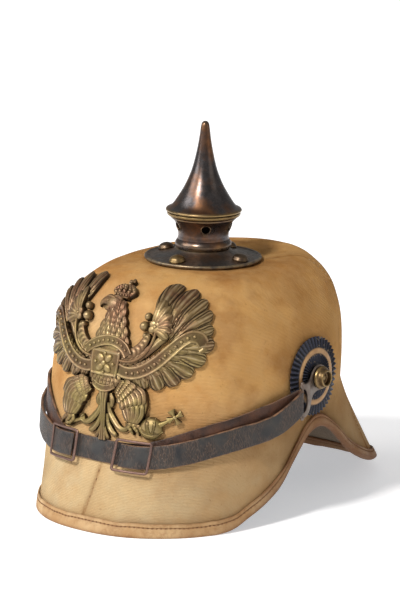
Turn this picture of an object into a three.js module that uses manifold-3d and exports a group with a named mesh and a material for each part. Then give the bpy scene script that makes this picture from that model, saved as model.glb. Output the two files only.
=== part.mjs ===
// A spiked helmet: a cloth-covered felt crown with a front peak and a neck guard, leather bound
// edges, a spike on a round studded plate, an eagle helmet plate, two fluted cockades and a
// buckled leather chin strap carried up over the front peak.
// Millimetres, +Z up. The helmet stands on its bound edges on the plane z = 0 and faces -Y.
import * as THREE from "three";
import { TessellateModifier } from "three/addons/modifiers/TessellateModifier.js";
import { mergeVertices } from "three/addons/utils/BufferGeometryUtils.js";
import Module from "manifold-3d";

const wasm = await Module();
wasm.setup();

// ---------------------------------------------------------------- driving dimensions
const GAP = 0.35; // clearance between neighbouring pieces
const WALL = 2.6; // felt with its cloth cover
const AXIS_Y = -17.25; // the spike's axis, behind the front of the crown
const WIDEST_Y = 6; // where the crown is widest, measured from the spike's axis
const WAIST_Z = 80; // where the crown ends and the peaks begin
const VENT_R = 13; // air hole in the crown under the spike
const PLATE_R = 38.2; // base plate of the spike

// Outer sections of the crown: height, how much the rear is lifted, reach to the front and to the
// rear of the spike's axis, and half width. The last row is the edge of the air hole.
const CROWN = [
  { z: 80.0, lift: 0.0, front: 99.3, rear: 95.2, half: 86.4 },
  { z: 96.0, lift: 0.0, front: 96.1, rear: 96.6, half: 86.5 },
  { z: 112.0, lift: 0.0, front: 93.2, rear: 98.1, half: 85.1 },
  { z: 126.0, lift: 0.0, front: 89.5, rear: 98.7, half: 81.6 },
  { z: 138.0, lift: 2.9, front: 85.3, rear: 96.9, half: 74.4 },
  { z: 147.0, lift: 2.7, front: 78.0, rear: 89.5, half: 64.3 },
  { z: 153.5, lift: 6.6, front: 66.0, rear: 75.0, half: 53.0 },
  { z: 158.0, lift: 0.6, front: 39.0, rear: 39.0, half: 39.0 },
  { z: 158.8, lift: 0.0, front: VENT_R, rear: VENT_R, half: VENT_R },
];
const SQUARENESS = { front: 2.58, rear: 2.02 }; // superellipse exponents of the ovals

// The peaks' rim: its oval in plan, and its edge in side view from the front peak, over the ear,
// to the neck guard.
const RIM = { front: 121, rear: 155.5, half: 85.5, square: 2.3 };
const RIM_EDGE = [
  { y: -130, z: 1.7 },
  { y: -70, z: 1.7 },
  { y: -48, z: 9.5 },
  { y: -24, z: 23.5 },
  { y: -9, z: 41.0 },
  { y: 5, z: 55.0 },
  { y: 19, z: 58.5 },
  { y: 36, z: 51.0 },
  { y: 60, z: 33.5 },
  { y: 83, z: 22.5 },
  { y: 106, z: 15.0 },
  { y: 126, z: 10.5 },
  { y: 144, z: 5.5 },
  { y: 158, z: 0.9 },
];
const FLARE = { front: 1.6, rear: 1.0 }; // how slowly each peak turns out of the crown's wall
const SPLIT_Y = 13; // the two peaks meet over the ears

// The leather binding folded over the rim.
const BIND = { leg: 8.0, leather: 1.1, under: 1.5 };
const SLACK = 0.5; // room for the wall inside the folded binding

// The chin strap: one strap run round the front and back on itself through each lug's bar.
// Turn from the front, heights of the inner and outer runs, and their standing off the helmet.
// The outer run lies free from one turn on, and ends a little past its buckle.
const STRAP = { width: 15, leather: 1.6, loop: 2.35, free: 0.067, past: 0.0145 };
const STRAP_RUN = [
  { turn: 0.0, inner: 50.1, outer: 50.1, innerOff: 0.6, outerOff: 2.8 },
  { turn: 0.04, inner: 50.2, outer: 49.2, innerOff: 0.6, outerOff: 2.8 },
  { turn: 0.067, inner: 53.0, outer: 50.4, innerOff: 0.6, outerOff: 2.8 },
  { turn: 0.1, inner: 58.6, outer: 54.0, innerOff: 0.6, outerOff: 2.8 },
  { turn: 0.133, inner: 64.0, outer: 58.6, innerOff: 0.6, outerOff: 2.8 },
  { turn: 0.1665, inner: 68.6, outer: 62.8, innerOff: 0.8, outerOff: 3.2 },
  { turn: 0.19, inner: 72.8, outer: 65.4, innerOff: 2.0, outerOff: 5.0 },
  { turn: 0.212, inner: 76.6, outer: 70.2, innerOff: 3.8, outerOff: 7.8 },
];
const STRAP_BULGE = 1.5; // the right-hand outer run stands away from the helmet between its ends
const BUCKLES = { right: -0.036, left: 0.0415 }; // turns of the two buckles, beside the front
const BUCKLE = { along: 23, across: 21, bend: 2, wire: 1.7, z: 49.4, off: 5.8 };

// Cockades, lugs and nuts over the ears.
const SIDE = { turn: 0.254, z: 92.5 };
const COCKADE = { radius: 25.3, flutes: 26, plain: 12, depth: 0.45, sheet: 0.9, off: 0.85 };
const LUG = {
  eye: 7.4, // radius round the nut's hole
  neck: 3.2, // half width of the arm
  reach: 20.5, // from the nut to the bar's middle
  drop: 12.0, // the bar's middle below the nut
  bar: 2.0,
  slot: 3.6,
  tall: 20.5,
  sheet: 1.4,
  off: 3.9, // off the helmet
  lift: 1.9, // the looped end stands higher by this
};
const NUT = { radius: 7.2, flange: 2.2, dome: 4.2, stem: 3.0, hole: 3.4 };

// The spike's lathed profiles: radius and height.
const SPIKE = [
  { r: 0.0, z: 190.4 },
  { r: 22.6, z: 190.4 },
  { r: 24.3, z: 190.7 },
  { r: 24.7, z: 191.8 },
  { r: 23.6, z: 193.0 },
  { r: 20.9, z: 194.6 },
  { r: 17.7, z: 199.0 },
  { r: 13.3, z: 206.3 },
  { r: 10.0, z: 213.5 },
  { r: 7.5, z: 221.0 },
  { r: 5.6, z: 229.0 },
  { r: 4.1, z: 237.0 },
  { r: 3.1, z: 244.5 },
  { r: 2.5, z: 248.2 },
  { r: 1.5, z: 249.6 },
  { r: 0.0, z: 250.0 },
];
const SPIKE_BAND = [
  { r: 18.6, z: 187.2 },
  { r: 22.0, z: 187.2 },
  { r: 23.9, z: 188.4 },
  { r: 23.9, z: 190.05 },
  { r: 18.6, z: 190.05 },
];
const NECK = [
  { r: 15.2, z: 166.4 },
  { r: 17.0, z: 166.4 },
  { r: 17.9, z: 168.2 },
  { r: 17.7, z: 170.6 },
  { r: 16.9, z: 172.6 },
  { r: 16.8, z: 175.4 },
  { r: 17.5, z: 179.7 },
  { r: 19.2, z: 183.8 },
  { r: 21.2, z: 186.0 },
  { r: 21.2, z: 186.85 },
  { r: 19.6, z: 186.85 },
  { r: 17.6, z: 183.8 },
  { r: 15.9, z: 179.7 },
  { r: 15.2, z: 175.4 },
];
const BASE_PLATE = [
  { r: 15.0, z: 164.6 },
  { r: 22.0, z: 162.0 },
  { r: 30.0, z: 160.2 },
  { r: 36.6, z: 159.3 },
  { r: PLATE_R - 0.4, z: 159.3 },
  { r: PLATE_R, z: 160.0 },
  { r: PLATE_R - 0.6, z: 160.9 },
  { r: 36.4, z: 160.5 },
  { r: 30.0, z: 161.4 },
  { r: 22.0, z: 163.4 },
  { r: 17.4, z: 166.05 },
  { r: 15.0, z: 166.05 },
];
const AIR_HOLE = { radius: 2.9, z: 181.0, turned: 44, count: 5, sides: 10 };
const STUD = { ring: 29.5, radius: 5.4, high: 3.7, z: 162.15, tilt: 0.17 };
const LATHE_STEPS = 28;

// The helmet plate, drawn flat: a is the arc from its middle, b the way up the front profile from
// the eagle's feet. Flight feathers of one wing, from the topmost to the one beside the belt.
const PLATE = { feather: 2.2, wing: 3.2, body: 4.6, off: 0.8, middle: 2.0, foot: 56, cell: 13, tidy: 0.08 };
const FEATHERS = [
  { rootA: 40, rootB: 70, tipA: 27.0, tipB: 108.0, root: 3.2, tip: 5.2 },
  { rootA: 42, rootB: 68, tipA: 43.5, tipB: 102.5, root: 3.2, tip: 5.0 },
  { rootA: 44, rootB: 66, tipA: 55.5, tipB: 93.5, root: 3.2, tip: 4.6 },
  { rootA: 46, rootB: 64, tipA: 64.0, tipB: 84.0, root: 3.2, tip: 4.6 },
  { rootA: 48, rootB: 62, tipA: 68.5, tipB: 73.5, root: 3.2, tip: 4.4 },
  { rootA: 47, rootB: 60, tipA: 68.0, tipB: 62.5, root: 3.2, tip: 4.4 },
  { rootA: 45, rootB: 58, tipA: 62.5, tipB: 52.5, root: 3.2, tip: 4.4 },
  { rootA: 41, rootB: 56, tipA: 53.5, tipB: 44.0, root: 3.2, tip: 4.6 },
  { rootA: 34, rootB: 54, tipA: 41.5, tipB: 39.0, root: 3.2, tip: 4.4 },
  { rootA: 26, rootB: 52, tipA: 30.5, tipB: 37.5, root: 3.2, tip: 4.2 },
  { rootA: 18, rootB: 50, tipA: 20.5, tipB: 38.0, root: 3.2, tip: 4.2 },
];
const WING = [
  { a: 8, b: 70 },
  { a: 17, b: 62 },
  { a: 22, b: 66 },
  { a: 21, b: 79 },
  { a: 25, b: 87 },
  { a: 31, b: 93 },
  { a: 35, b: 86 },
  { a: 40, b: 77 },
  { a: 52, b: 74 },
  { a: 60, b: 66 },
  { a: 54, b: 54 },
  { a: 40, b: 47 },
  { a: 22, b: 43 },
  { a: 6, b: 44 },
];
const BODY = [
  { a: 0, b: 33 },
  { a: 7, b: 35 },
  { a: 14, b: 46 },
  { a: 16, b: 58 },
  { a: 14.5, b: 68 },
  { a: 10, b: 78 },
  { a: 6.5, b: 88 },
  { a: 5.5, b: 92 },
  { a: -8, b: 92 },
  { a: -15, b: 89.5 },
  { a: -14, b: 86.5 },
  { a: -8.5, b: 84 },
  { a: -10, b: 76 },
  { a: -14.5, b: 67 },
  { a: -16, b: 58 },
  { a: -14, b: 46 },
  { a: -7, b: 35 },
];
const ROYAL_CROWN = [
  { a: -6.5, b: 91 },
  { a: 4.5, b: 91 },
  { a: 7.5, b: 96 },
  { a: 6.5, b: 99.5 },
  { a: 2.2, b: 101.2 },
  { a: 2.0, b: 102.5 },
  { a: 3.8, b: 104.6 },
  { a: 2.0, b: 106.8 },
  { a: -2.0, b: 106.8 },
  { a: -3.8, b: 104.6 },
  { a: -2.0, b: 102.5 },
  { a: -2.2, b: 101.2 },
  { a: -8.5, b: 99.5 },
  { a: -9.5, b: 96 },
];
const LEG = [
  { a: 5, b: 37 },
  { a: 14, b: 37 },
  { a: 25, b: 34 },
  { a: 32, b: 27 },
  { a: 30, b: 20 },
  { a: 24, b: 17 },
  { a: 24, b: 11 },
  { a: 17, b: 8 },
  { a: 14, b: 12 },
  { a: 17, b: 18 },
  { a: 12, b: 26 },
];
const TAIL = [
  { a: -0.5, b: 36 },
  { a: -0.5, b: 4 },
  { a: 6, b: 4.6 },
  { a: 12, b: 8 },
  { a: 16, b: 11 },
  { a: 14, b: 16 },
  { a: 7, b: 20 },
  { a: 5, b: 36 },
];
const ORB = { a: 31, b: 13.5, radius: 8.5, starA: 48, starB: 19.5, star: 4.6 };
const ORB_BAR = { rootA: 31, rootB: 13.5, tipA: 48, tipB: 19.5, root: 2.6, tip: 2.6 };
const SCEPTRE = { rootA: -16, rootB: 10, tipA: -28, tipB: 6.5, root: 2.2, tip: 2.2 };

// ---------------------------------------------------------------- the helmet's outer surface
const clamp = (v, low, high) => Math.min(high, Math.max(low, v));
const mix = (a, b, t) => a + (b - a) * t;
const signedPower = (v, p) => Math.sign(v) * Math.pow(Math.abs(v), p);

// Catmull-Rom value of one column of a table at a fractional row.
function column(table, key, at) {
  const last = table.length - 1;
  const t = clamp(at, 0, last);
  const i = Math.min(Math.floor(t), last - 1);
  const row = (k) => table[clamp(k, 0, last)][key];
  const [a, b, c, d] = [row(i - 1), row(i), row(i + 1), row(i + 2)];
  const f = t - i;
  const square = (2 * a - 5 * b + 4 * c - d) * f * f;
  return 0.5 * (2 * b + (c - a) * f + square + (3 * b - a - 3 * c + d) * f ** 3);
}

// The fractional row at which a rising column reaches a value.
function rowAt(table, key, value) {
  let low = 0;
  let high = table.length - 1;
  for (let i = 0; i < 30; i++) {
    const middle = (low + high) / 2;
    if (column(table, key, middle) < value) low = middle;
    else high = middle;
  }
  return (low + high) / 2;
}

// A point of an oval in plan: turn is 0 at the front, a quarter at +X and a half at the rear.
function oval(size, turn) {
  const angle = turn * 2 * Math.PI;
  const ahead = Math.cos(angle) > 0;
  const power = 2 / (ahead ? size.square ?? SQUARENESS.front : SQUARENESS.rear);
  const reach = ahead ? size.front + WIDEST_Y : size.rear - WIDEST_Y;
  return new THREE.Vector2(
    size.half * signedPower(Math.sin(angle), power),
    WIDEST_Y - reach * signedPower(Math.cos(angle), power),
  );
}

// A point of the crown at a fractional row of its table.
function crownPoint(turn, row) {
  const size = {
    front: column(CROWN, "front", row),
    rear: column(CROWN, "rear", row),
    half: column(CROWN, "half", row),
  };
  const p = oval(size, turn);
  const behind = Math.pow(0.5 - 0.5 * Math.cos(turn * 2 * Math.PI), 0.8);
  return new THREE.Vector3(p.x, p.y, column(CROWN, "z", row) + behind * column(CROWN, "lift", row));
}

const rimHeight = (y) => column(RIM_EDGE, "z", rowAt(RIM_EDGE, "y", y));

// A point of the peaks: rise is 0 at the rim and 1 at the crown's waist.
function peakPoint(turn, rise) {
  const waist = oval(CROWN[0], turn);
  const rim = oval(RIM, turn);
  const ahead = 0.5 + 0.5 * Math.cos(turn * 2 * Math.PI);
  const down = clamp(1 - rise, 0, 2);
  const out = Math.pow(down, mix(FLARE.rear, FLARE.front, ahead));
  return new THREE.Vector3(
    mix(waist.x, rim.x, out),
    mix(waist.y, rim.y, out),
    mix(WAIST_Z, rimHeight(rim.y), down),
  );
}

// A point of the whole outer surface at a height (without the lift of the rear).
function helmetPoint(turn, z) {
  if (z >= WAIST_Z) return crownPoint(turn, rowAt(CROWN, "z", z));
  const edge = rimHeight(oval(RIM, turn).y);
  return peakPoint(turn, (z - edge) / (WAIST_Z - edge));
}

// The outward normal of a surface given by two numbers.
function normalOf(surface, u, v, du, dv) {
  const along = surface(u + du, v).sub(surface(u - du, v));
  const up = surface(u, v + dv).sub(surface(u, v - dv));
  return along.cross(up).normalize();
}

// A point off the helmet, from a turn and height and local steps along, up and out of it.
function offHelmet(turn, z, along, up, out) {
  const step = helmetPoint(turn + 0.001, z).sub(helmetPoint(turn - 0.001, z)).length() / 0.002;
  const rise = helmetPoint(turn, z + 0.5).sub(helmetPoint(turn, z - 0.5)).length();
  const [u, v] = [turn + along / step, z + up / rise];
  return helmetPoint(u, v).addScaledVector(normalOf(helmetPoint, u, v, 0.001, 0.2), out);
}

// ---------------------------------------------------------------- builders
const radians = THREE.MathUtils.degToRad;
const range = (count) => Array.from({ length: count }, (_, i) => i);

// A closed body swept through sections, each the same closed loop of points.
function sweep(sections, closed) {
  const ring = sections[0].length;
  const count = sections.length;
  const positions = sections.flat().flatMap((p) => [p.x, p.y, p.z]);
  const index = [];
  for (let i = 0; i < (closed ? count : count - 1); i++) {
    for (let k = 0; k < ring; k++) {
      const [a, b] = [i * ring + k, i * ring + ((k + 1) % ring)];
      const [c, d] = [((i + 1) % count) * ring + k, ((i + 1) % count) * ring + ((k + 1) % ring)];
      index.push(a, b, d, a, d, c);
    }
  }
  if (!closed) {
    for (const [start, flip] of [[0, true], [(count - 1) * ring, false]]) {
      for (let k = 0; k < ring / 2 - 1; k++) {
        const [a, b] = [start + k, start + k + 1];
        const [c, d] = [start + ring - 1 - k, start + ring - 2 - k];
        if (flip) index.push(a, d, b, a, c, d);
        else index.push(a, b, d, a, d, c);
      }
    }
  }
  const geometry = new THREE.BufferGeometry();
  geometry.setAttribute("position", new THREE.Float32BufferAttribute(positions, 3));
  geometry.setIndex(index);
  return solid(geometry);
}

// A manifold from a geometry, turned the right way out.
function solid(geometry) {
  const bare = geometry.clone();
  bare.deleteAttribute("normal");
  bare.deleteAttribute("uv");
  const welded = mergeVertices(bare, 1e-4);
  const mesh = new wasm.Mesh({
    numProp: 3,
    vertProperties: new Float32Array(welded.attributes.position.array),
    triVerts: new Uint32Array(welded.index.array),
  });
  const body = new wasm.Manifold(mesh);
  if (body.volume() > 0) return body;
  mesh.triVerts = mesh.triVerts.map((_, i, all) => all[i - (i % 3) + 2 - (i % 3)]);
  return new wasm.Manifold(mesh);
}

function geometryOf(body) {
  const mesh = body.getMesh();
  const geometry = new THREE.BufferGeometry();
  geometry.setAttribute("position", new THREE.Float32BufferAttribute(mesh.vertProperties, 3));
  geometry.setIndex(new THREE.Uint32BufferAttribute(mesh.triVerts, 1));
  geometry.computeVertexNormals();
  return geometry;
}

// A wall inward from an outer surface: a ring, or a part of one between two turns.
function wall(surface, turns, rises, closed) {
  const sections = turns.map((turn) => {
    const outer = rises.map((rise) => surface(turn, rise));
    const inner = rises.map((rise) => {
      const normal = normalOf(surface, turn, rise, 0.001, 0.002);
      return surface(turn, rise).addScaledVector(normal, -WALL);
    });
    return [...outer, ...inner.reverse()];
  });
  return sweep(sections, closed);
}

// A closed profile turned about the spike's axis.
function lathe(profile, steps = LATHE_STEPS) {
  const points = profile.map((p) => new THREE.Vector2(p.r, p.z));
  if (profile[0].r > 0) points.push(points[0].clone());
  return new THREE.LatheGeometry(points, steps).rotateX(Math.PI / 2);
}

// A flat outline, given by rows of a and b, as a prism.
function prism(rows, flip, depth) {
  const outline = new THREE.Shape(rows.map((p) => new THREE.Vector2(flip * p.a, p.b)));
  return solid(new THREE.ExtrudeGeometry(outline, { depth, bevelEnabled: false }));
}

// A long leaf with a round tip, from a root to a tip, with half widths at both.
function leaf(row) {
  const root = new THREE.Vector2(row.rootA, row.rootB);
  const tip = new THREE.Vector2(row.tipA, row.tipB);
  const along = tip.clone().sub(root).normalize();
  const side = new THREE.Vector2(-along.y, along.x);
  const at = (base, forward, out) => {
    const p = base.clone().addScaledVector(along, forward).addScaledVector(side, out);
    return { a: p.x, b: p.y };
  };
  const round = range(5).map((i) => {
    const angle = Math.PI * (i / 4);
    return at(tip, row.tip * Math.sin(angle) * 0.9 - row.tip * 0.9, -row.tip * Math.cos(angle));
  });
  return [at(root, 0, row.root), at(root, 0, -row.root), ...round];
}

const disc = (a, b, radius, steps) =>
  range(steps).map((i) => ({
    a: a + radius * Math.cos((i / steps) * 2 * Math.PI),
    b: b + radius * Math.sin((i / steps) * 2 * Math.PI),
  }));

// ---------------------------------------------------------------- colours
const MATERIALS = {
  cloth: { color: 0xc89a62, roughness: 0.9, metalness: 0.0 },
  binding: { color: 0x9a6f45, roughness: 0.65, metalness: 0.0 },
  bronze: { color: 0x4a3a30, roughness: 0.4, metalness: 0.9 },
  brass: { color: 0x8a7440, roughness: 0.4, metalness: 0.9 },
  steel: { color: 0x8a8986, roughness: 0.45, metalness: 0.9 },
  black: { color: 0x1d1f26, roughness: 0.45, metalness: 0.0 },
  leather: { color: 0x2f2a2a, roughness: 0.55, metalness: 0.0 },
  buckle: { color: 0x5b4636, roughness: 0.5, metalness: 0.9 },
};
const helmet = new THREE.Group();
helmet.name = "spiked_helmet";

function add(name, geometry, material) {
  const mesh = new THREE.Mesh(geometry, new THREE.MeshStandardMaterial(MATERIALS[material]));
  mesh.name = name;
  mesh.position.set(0, AXIS_Y, 0);
  helmet.add(mesh);
}

// ---------------------------------------------------------------- crown and peaks
const RING = 48;
const CROWN_ROWS = [0, 1, 2, 3, 3.5, 4, 4.5, 5, 5.5, 6, 6.5, 7, 8];
add("crown", geometryOf(wall(crownPoint, range(RING).map((i) => i / RING), CROWN_ROWS, true)), "cloth");

// The turn at which the rim crosses the seam over the ear.
const seam = (() => {
  let [low, high] = [0.2, 0.35];
  for (let i = 0; i < 30; i++) {
    const middle = (low + high) / 2;
    if (oval(RIM, middle).y < SPLIT_Y) low = middle;
    else high = middle;
  }
  return low;
})();
const seamStep = helmetPoint(seam + 0.001, WAIST_Z).distanceTo(helmetPoint(seam, WAIST_Z)) / 0.001;
const halfGap = GAP / 2 / seamStep;
const PEAK_ROWS = [0, 0.1, 0.24, 0.38, 0.54, 0.7, 0.85, 1 - GAP / 20];
const between = (from, to, count) => range(count + 1).map((i) => mix(from, to, i / count));
const frontTurns = between(-seam + halfGap, seam - halfGap, 28);
const rearTurns = between(seam + halfGap, 1 - seam - halfGap, 30);
add("front_peak", geometryOf(wall(peakPoint, frontTurns, PEAK_ROWS, false)), "cloth");
add("neck_guard", geometryOf(wall(peakPoint, rearTurns, PEAK_ROWS, false)), "cloth");

// ---------------------------------------------------------------- edge binding
// A channel section: how far out of the wall's outer face, and how far below its rim.
const deep = -WALL - SLACK;
const CHANNEL = [
  { out: SLACK, down: -BIND.leg },
  { out: SLACK + BIND.leather, down: -BIND.leg },
  { out: SLACK + BIND.leather, down: SLACK + BIND.under * 0.3 },
  { out: SLACK, down: SLACK + BIND.under },
  { out: deep, down: SLACK + BIND.under },
  { out: deep - BIND.leather, down: SLACK + BIND.under * 0.3 },
  { out: deep - BIND.leather, down: -BIND.leg },
  { out: deep, down: -BIND.leg },
  { out: deep, down: SLACK },
  { out: SLACK, down: SLACK },
];
const bound = [...frontTurns, ...rearTurns].map((turn) => {
  const rim = peakPoint(turn, 0);
  const down = rim.clone().sub(peakPoint(turn, BIND.leg / (WAIST_Z - rim.z))).normalize();
  const along = peakPoint(turn + 0.001, 0).sub(peakPoint(turn - 0.001, 0)).normalize();
  const normal = down.clone().cross(along).normalize();
  return CHANNEL.map((c) => rim.clone().addScaledVector(normal, c.out).addScaledVector(down, c.down));
});
const floorCut = new THREE.BoxGeometry(400, 400, 40).translate(0, 0, -20);
add("edge_binding", geometryOf(sweep(bound, true).subtract(solid(floorCut))), "binding");

// ---------------------------------------------------------------- spike, neck and base plate
add("base_plate", geometryOf(solid(lathe(BASE_PLATE))), "bronze");
let neck = solid(lathe(NECK));
for (const i of range(AIR_HOLE.count)) {
  const drill = new THREE.CylinderGeometry(AIR_HOLE.radius, AIR_HOLE.radius, 24, AIR_HOLE.sides);
  drill.translate(0, -18, AIR_HOLE.z);
  drill.rotateZ(radians(AIR_HOLE.turned + i * (360 / AIR_HOLE.count)));
  neck = neck.subtract(solid(drill));
}
add("spike_neck", geometryOf(neck), "bronze");
add("spike_band", geometryOf(solid(lathe(SPIKE_BAND))), "brass");
add("spike", geometryOf(solid(lathe(SPIKE))), "bronze");

const STUD_SIDES = { front: 0, left: 90, rear: 180, right: 270 };
for (const [side, turned] of Object.entries(STUD_SIDES)) {
  const dome = range(5).map((i) => ({
    r: STUD.radius * Math.cos((i / 4) * (Math.PI / 2)),
    z: STUD.high * Math.sin((i / 4) * (Math.PI / 2)),
  }));
  const stud = lathe([{ r: 0, z: 0 }, ...dome], 16);
  stud.rotateX(STUD.tilt).translate(0, -STUD.ring, STUD.z).rotateZ(radians(turned));
  add(`plate_stud_${side}`, geometryOf(solid(stud)), "brass");
}

// ---------------------------------------------------------------- helmet plate
let eagle = prism(BODY, 1, PLATE.body).add(prism(ROYAL_CROWN, 1, PLATE.wing));
for (const flip of [1, -1]) {
  eagle = eagle.add(prism(WING, flip, PLATE.wing)).add(prism(LEG, flip, PLATE.wing));
  eagle = eagle.add(prism(TAIL, flip, PLATE.feather));
  for (const row of FEATHERS) eagle = eagle.add(prism(leaf(row), flip, PLATE.feather));
}
eagle = eagle.add(prism(disc(ORB.a, ORB.b, ORB.radius, 14), 1, PLATE.wing));
eagle = eagle.add(prism(disc(ORB.starA, ORB.starB, ORB.star, 8), 1, PLATE.feather));
eagle = eagle.add(prism(leaf(ORB_BAR), 1, PLATE.feather)).add(prism(leaf(SCEPTRE), 1, PLATE.feather));

// Heights up the front profile, by length.
const profile = [{ b: 0, z: PLATE.foot }];
while (profile.at(-1).z < CROWN.at(-2).z) {
  const { b, z } = profile.at(-1);
  profile.push({ b: b + helmetPoint(0, z + 0.5).distanceTo(helmetPoint(0, z)), z: z + 0.5 });
}
function onFront(a, b, out) {
  const z = b < 0 ? PLATE.foot + b : column(profile, "z", rowAt(profile, "b", b));
  const want = Math.abs(a);
  let [turn, length] = [0, 0];
  let here = helmetPoint(0, z);
  while (length < want) {
    const next = helmetPoint(turn + 0.004, z);
    const piece = next.distanceTo(here);
    turn += 0.004 * Math.min(1, (want - length) / piece);
    length += piece;
    here = next;
  }
  turn *= Math.sign(a);
  return helmetPoint(turn, z).addScaledVector(normalOf(helmetPoint, turn, z, 0.001, 0.2), out);
}

const clean = geometryOf(eagle.simplify(PLATE.tidy)).toNonIndexed();
const flat = new TessellateModifier(PLATE.cell, 12).modify(clean);
const bent = flat.attributes.position;
for (const i of range(bent.count)) {
  const p = onFront(bent.getX(i) + PLATE.middle, bent.getY(i), bent.getZ(i) + PLATE.off);
  bent.setXYZ(i, p.x, p.y, p.z);
}
add("helmet_plate", geometryOf(solid(flat)), "brass");

// ---------------------------------------------------------------- pieces over the ears
// A left-hand piece and its mirror image.
function addPair(name, body, material) {
  const geometry = geometryOf(body);
  add(`${name}_left`, geometry, material);
  add(`${name}_right`, geometryOf(solid(geometry.clone().scale(-1, 1, 1))), material);
}

// A point off the helmet's side, from true distances behind and above the cockade's middle.
const sideY = helmetPoint(SIDE.turn, SIDE.z).y;
function besideEar(behind, above, out) {
  const z = SIDE.z + above;
  let [low, high] = [0.1, 0.4];
  for (let i = 0; i < 30; i++) {
    const middle = (low + high) / 2;
    if (helmetPoint(middle, z).y < sideY + behind) low = middle;
    else high = middle;
  }
  return helmetPoint(low, z).addScaledVector(normalOf(helmetPoint, low, z, 0.001, 0.2), out);
}

const wave = (x, z) => Math.cos(Math.atan2(z, x) * COCKADE.flutes);
const DISH = [
  { r: NUT.hole, z: 0.5 },
  { r: 9.0, z: 0.6 },
  { r: 14.5, z: 0.8 },
  { r: 20.0, z: 0.5 },
  { r: COCKADE.radius, z: 0.0 },
];
const dished = [...DISH, ...[...DISH].reverse().map((p) => ({ r: p.r, z: p.z + COCKADE.sheet }))];
const cockade = lathe(dished, COCKADE.flutes * 2);
const plate = cockade.attributes.position;
for (const i of range(plate.count)) {
  const [a, b] = [plate.getX(i), plate.getY(i)];
  const flute = Math.hypot(a, b) > COCKADE.plain ? COCKADE.depth * wave(a, b) : 0;
  const out = COCKADE.off + plate.getZ(i) + flute;
  const p = besideEar(a, b, out);
  plate.setXYZ(i, p.x, p.y, p.z);
}
addPair("cockade", solid(cockade), "black");

// The flat frame of the lug and nut: along the helmet, up, and out of it.
const sideOut = normalOf(helmetPoint, SIDE.turn, SIDE.z, 0.001, 0.2);
const sideAlong = new THREE.Vector3(0, 0, 1).cross(sideOut).normalize();
const sideUp = sideOut.clone().cross(sideAlong);
const sideFrame = new THREE.Matrix4().makeBasis(sideAlong, sideUp, sideOut);
sideFrame.setPosition(helmetPoint(SIDE.turn, SIDE.z));

const lugSheet = (rows, base, depth) => {
  const outline = new THREE.Shape(rows.map((p) => new THREE.Vector2(p.a, p.b)));
  const sheet = new THREE.ExtrudeGeometry(outline, { depth, bevelEnabled: false });
  return solid(sheet.translate(0, 0, base));
};
const barA = -LUG.reach;
const slotA = barA + LUG.bar / 2 + LUG.slot;
const loopLow = -LUG.drop - LUG.tall / 2;
const box = (fromA, toA, fromB, toB) => [
  { a: fromA, b: fromB },
  { a: toA, b: fromB },
  { a: toA, b: toB },
  { a: fromA, b: toB },
];
const neckRow = { rootA: 0, rootB: 0, tipA: slotA, tipB: -LUG.drop, root: LUG.neck * 1.3, tip: LUG.neck };
const raised = LUG.off + LUG.lift;
let lug = lugSheet(disc(0, 0, LUG.eye, 20), LUG.off, LUG.sheet);
lug = lug.add(lugSheet(leaf(neckRow), LUG.off, LUG.sheet));
const frameB = [loopLow, loopLow + LUG.tall];
lug = lug.add(lugSheet(box(barA - LUG.bar / 2, slotA + LUG.bar, ...frameB), raised, LUG.sheet));
const holeB = [loopLow + LUG.bar, loopLow + LUG.tall - LUG.bar];
lug = lug.subtract(lugSheet(box(barA + LUG.bar / 2, slotA, ...holeB), LUG.off, 2 * LUG.lift));
const stepB = [-LUG.drop - LUG.neck, -LUG.drop + LUG.neck];
lug = lug.add(lugSheet(box(slotA, slotA + LUG.bar, ...stepB), LUG.off, LUG.lift + LUG.sheet));
const eye = new THREE.CylinderGeometry(NUT.hole, NUT.hole, 20, 16).rotateX(Math.PI / 2);
lug = lug.subtract(solid(eye));
addPair("strap_lug", solid(geometryOf(lug).applyMatrix4(sideFrame)), "steel");

const nutSeat = LUG.off + LUG.sheet + GAP;
const NUT_PROFILE = [
  { r: 0, z: GAP },
  { r: NUT.stem, z: GAP },
  { r: NUT.stem, z: nutSeat },
  { r: NUT.radius, z: nutSeat },
  { r: NUT.radius, z: nutSeat + NUT.flange },
  { r: NUT.radius * 0.8, z: nutSeat + NUT.flange + NUT.dome * 0.6 },
  { r: NUT.radius * 0.45, z: nutSeat + NUT.flange + NUT.dome * 0.93 },
  { r: 0, z: nutSeat + NUT.flange + NUT.dome },
];
addPair("side_nut", solid(lathe(NUT_PROFILE, 16).applyMatrix4(sideFrame)), "brass");

// ---------------------------------------------------------------- chin strap
const half = STRAP.leather / 2;
const lastTurn = STRAP_RUN.at(-1).turn;
function onRun(turn, layer, bulge) {
  const row = rowAt(STRAP_RUN, "turn", turn);
  const free = clamp((turn - STRAP.free) / (lastTurn - STRAP.free), 0, 1);
  const away = bulge * Math.sin(Math.PI * free) ** 2;
  const out = column(STRAP_RUN, `${layer}Off`, row) + half + away;
  const z = column(STRAP_RUN, layer, row);
  const normal = normalOf(helmetPoint, turn, z, 0.001, 0.2);
  return { point: helmetPoint(turn, z).addScaledVector(normal, out), face: normal };
}
const barCentre = new THREE.Vector3(barA, -LUG.drop, raised + LUG.sheet / 2);
const roundBar = [80, 40, 0, -40, -80].map((degrees) => {
  const [along, out] = [Math.cos(radians(degrees)), Math.sin(radians(degrees))];
  const face = new THREE.Vector3(along, 0, out).transformDirection(sideFrame);
  const point = barCentre.clone().applyMatrix4(sideFrame).addScaledVector(face, STRAP.loop);
  return { point, face, across: sideUp };
});
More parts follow.
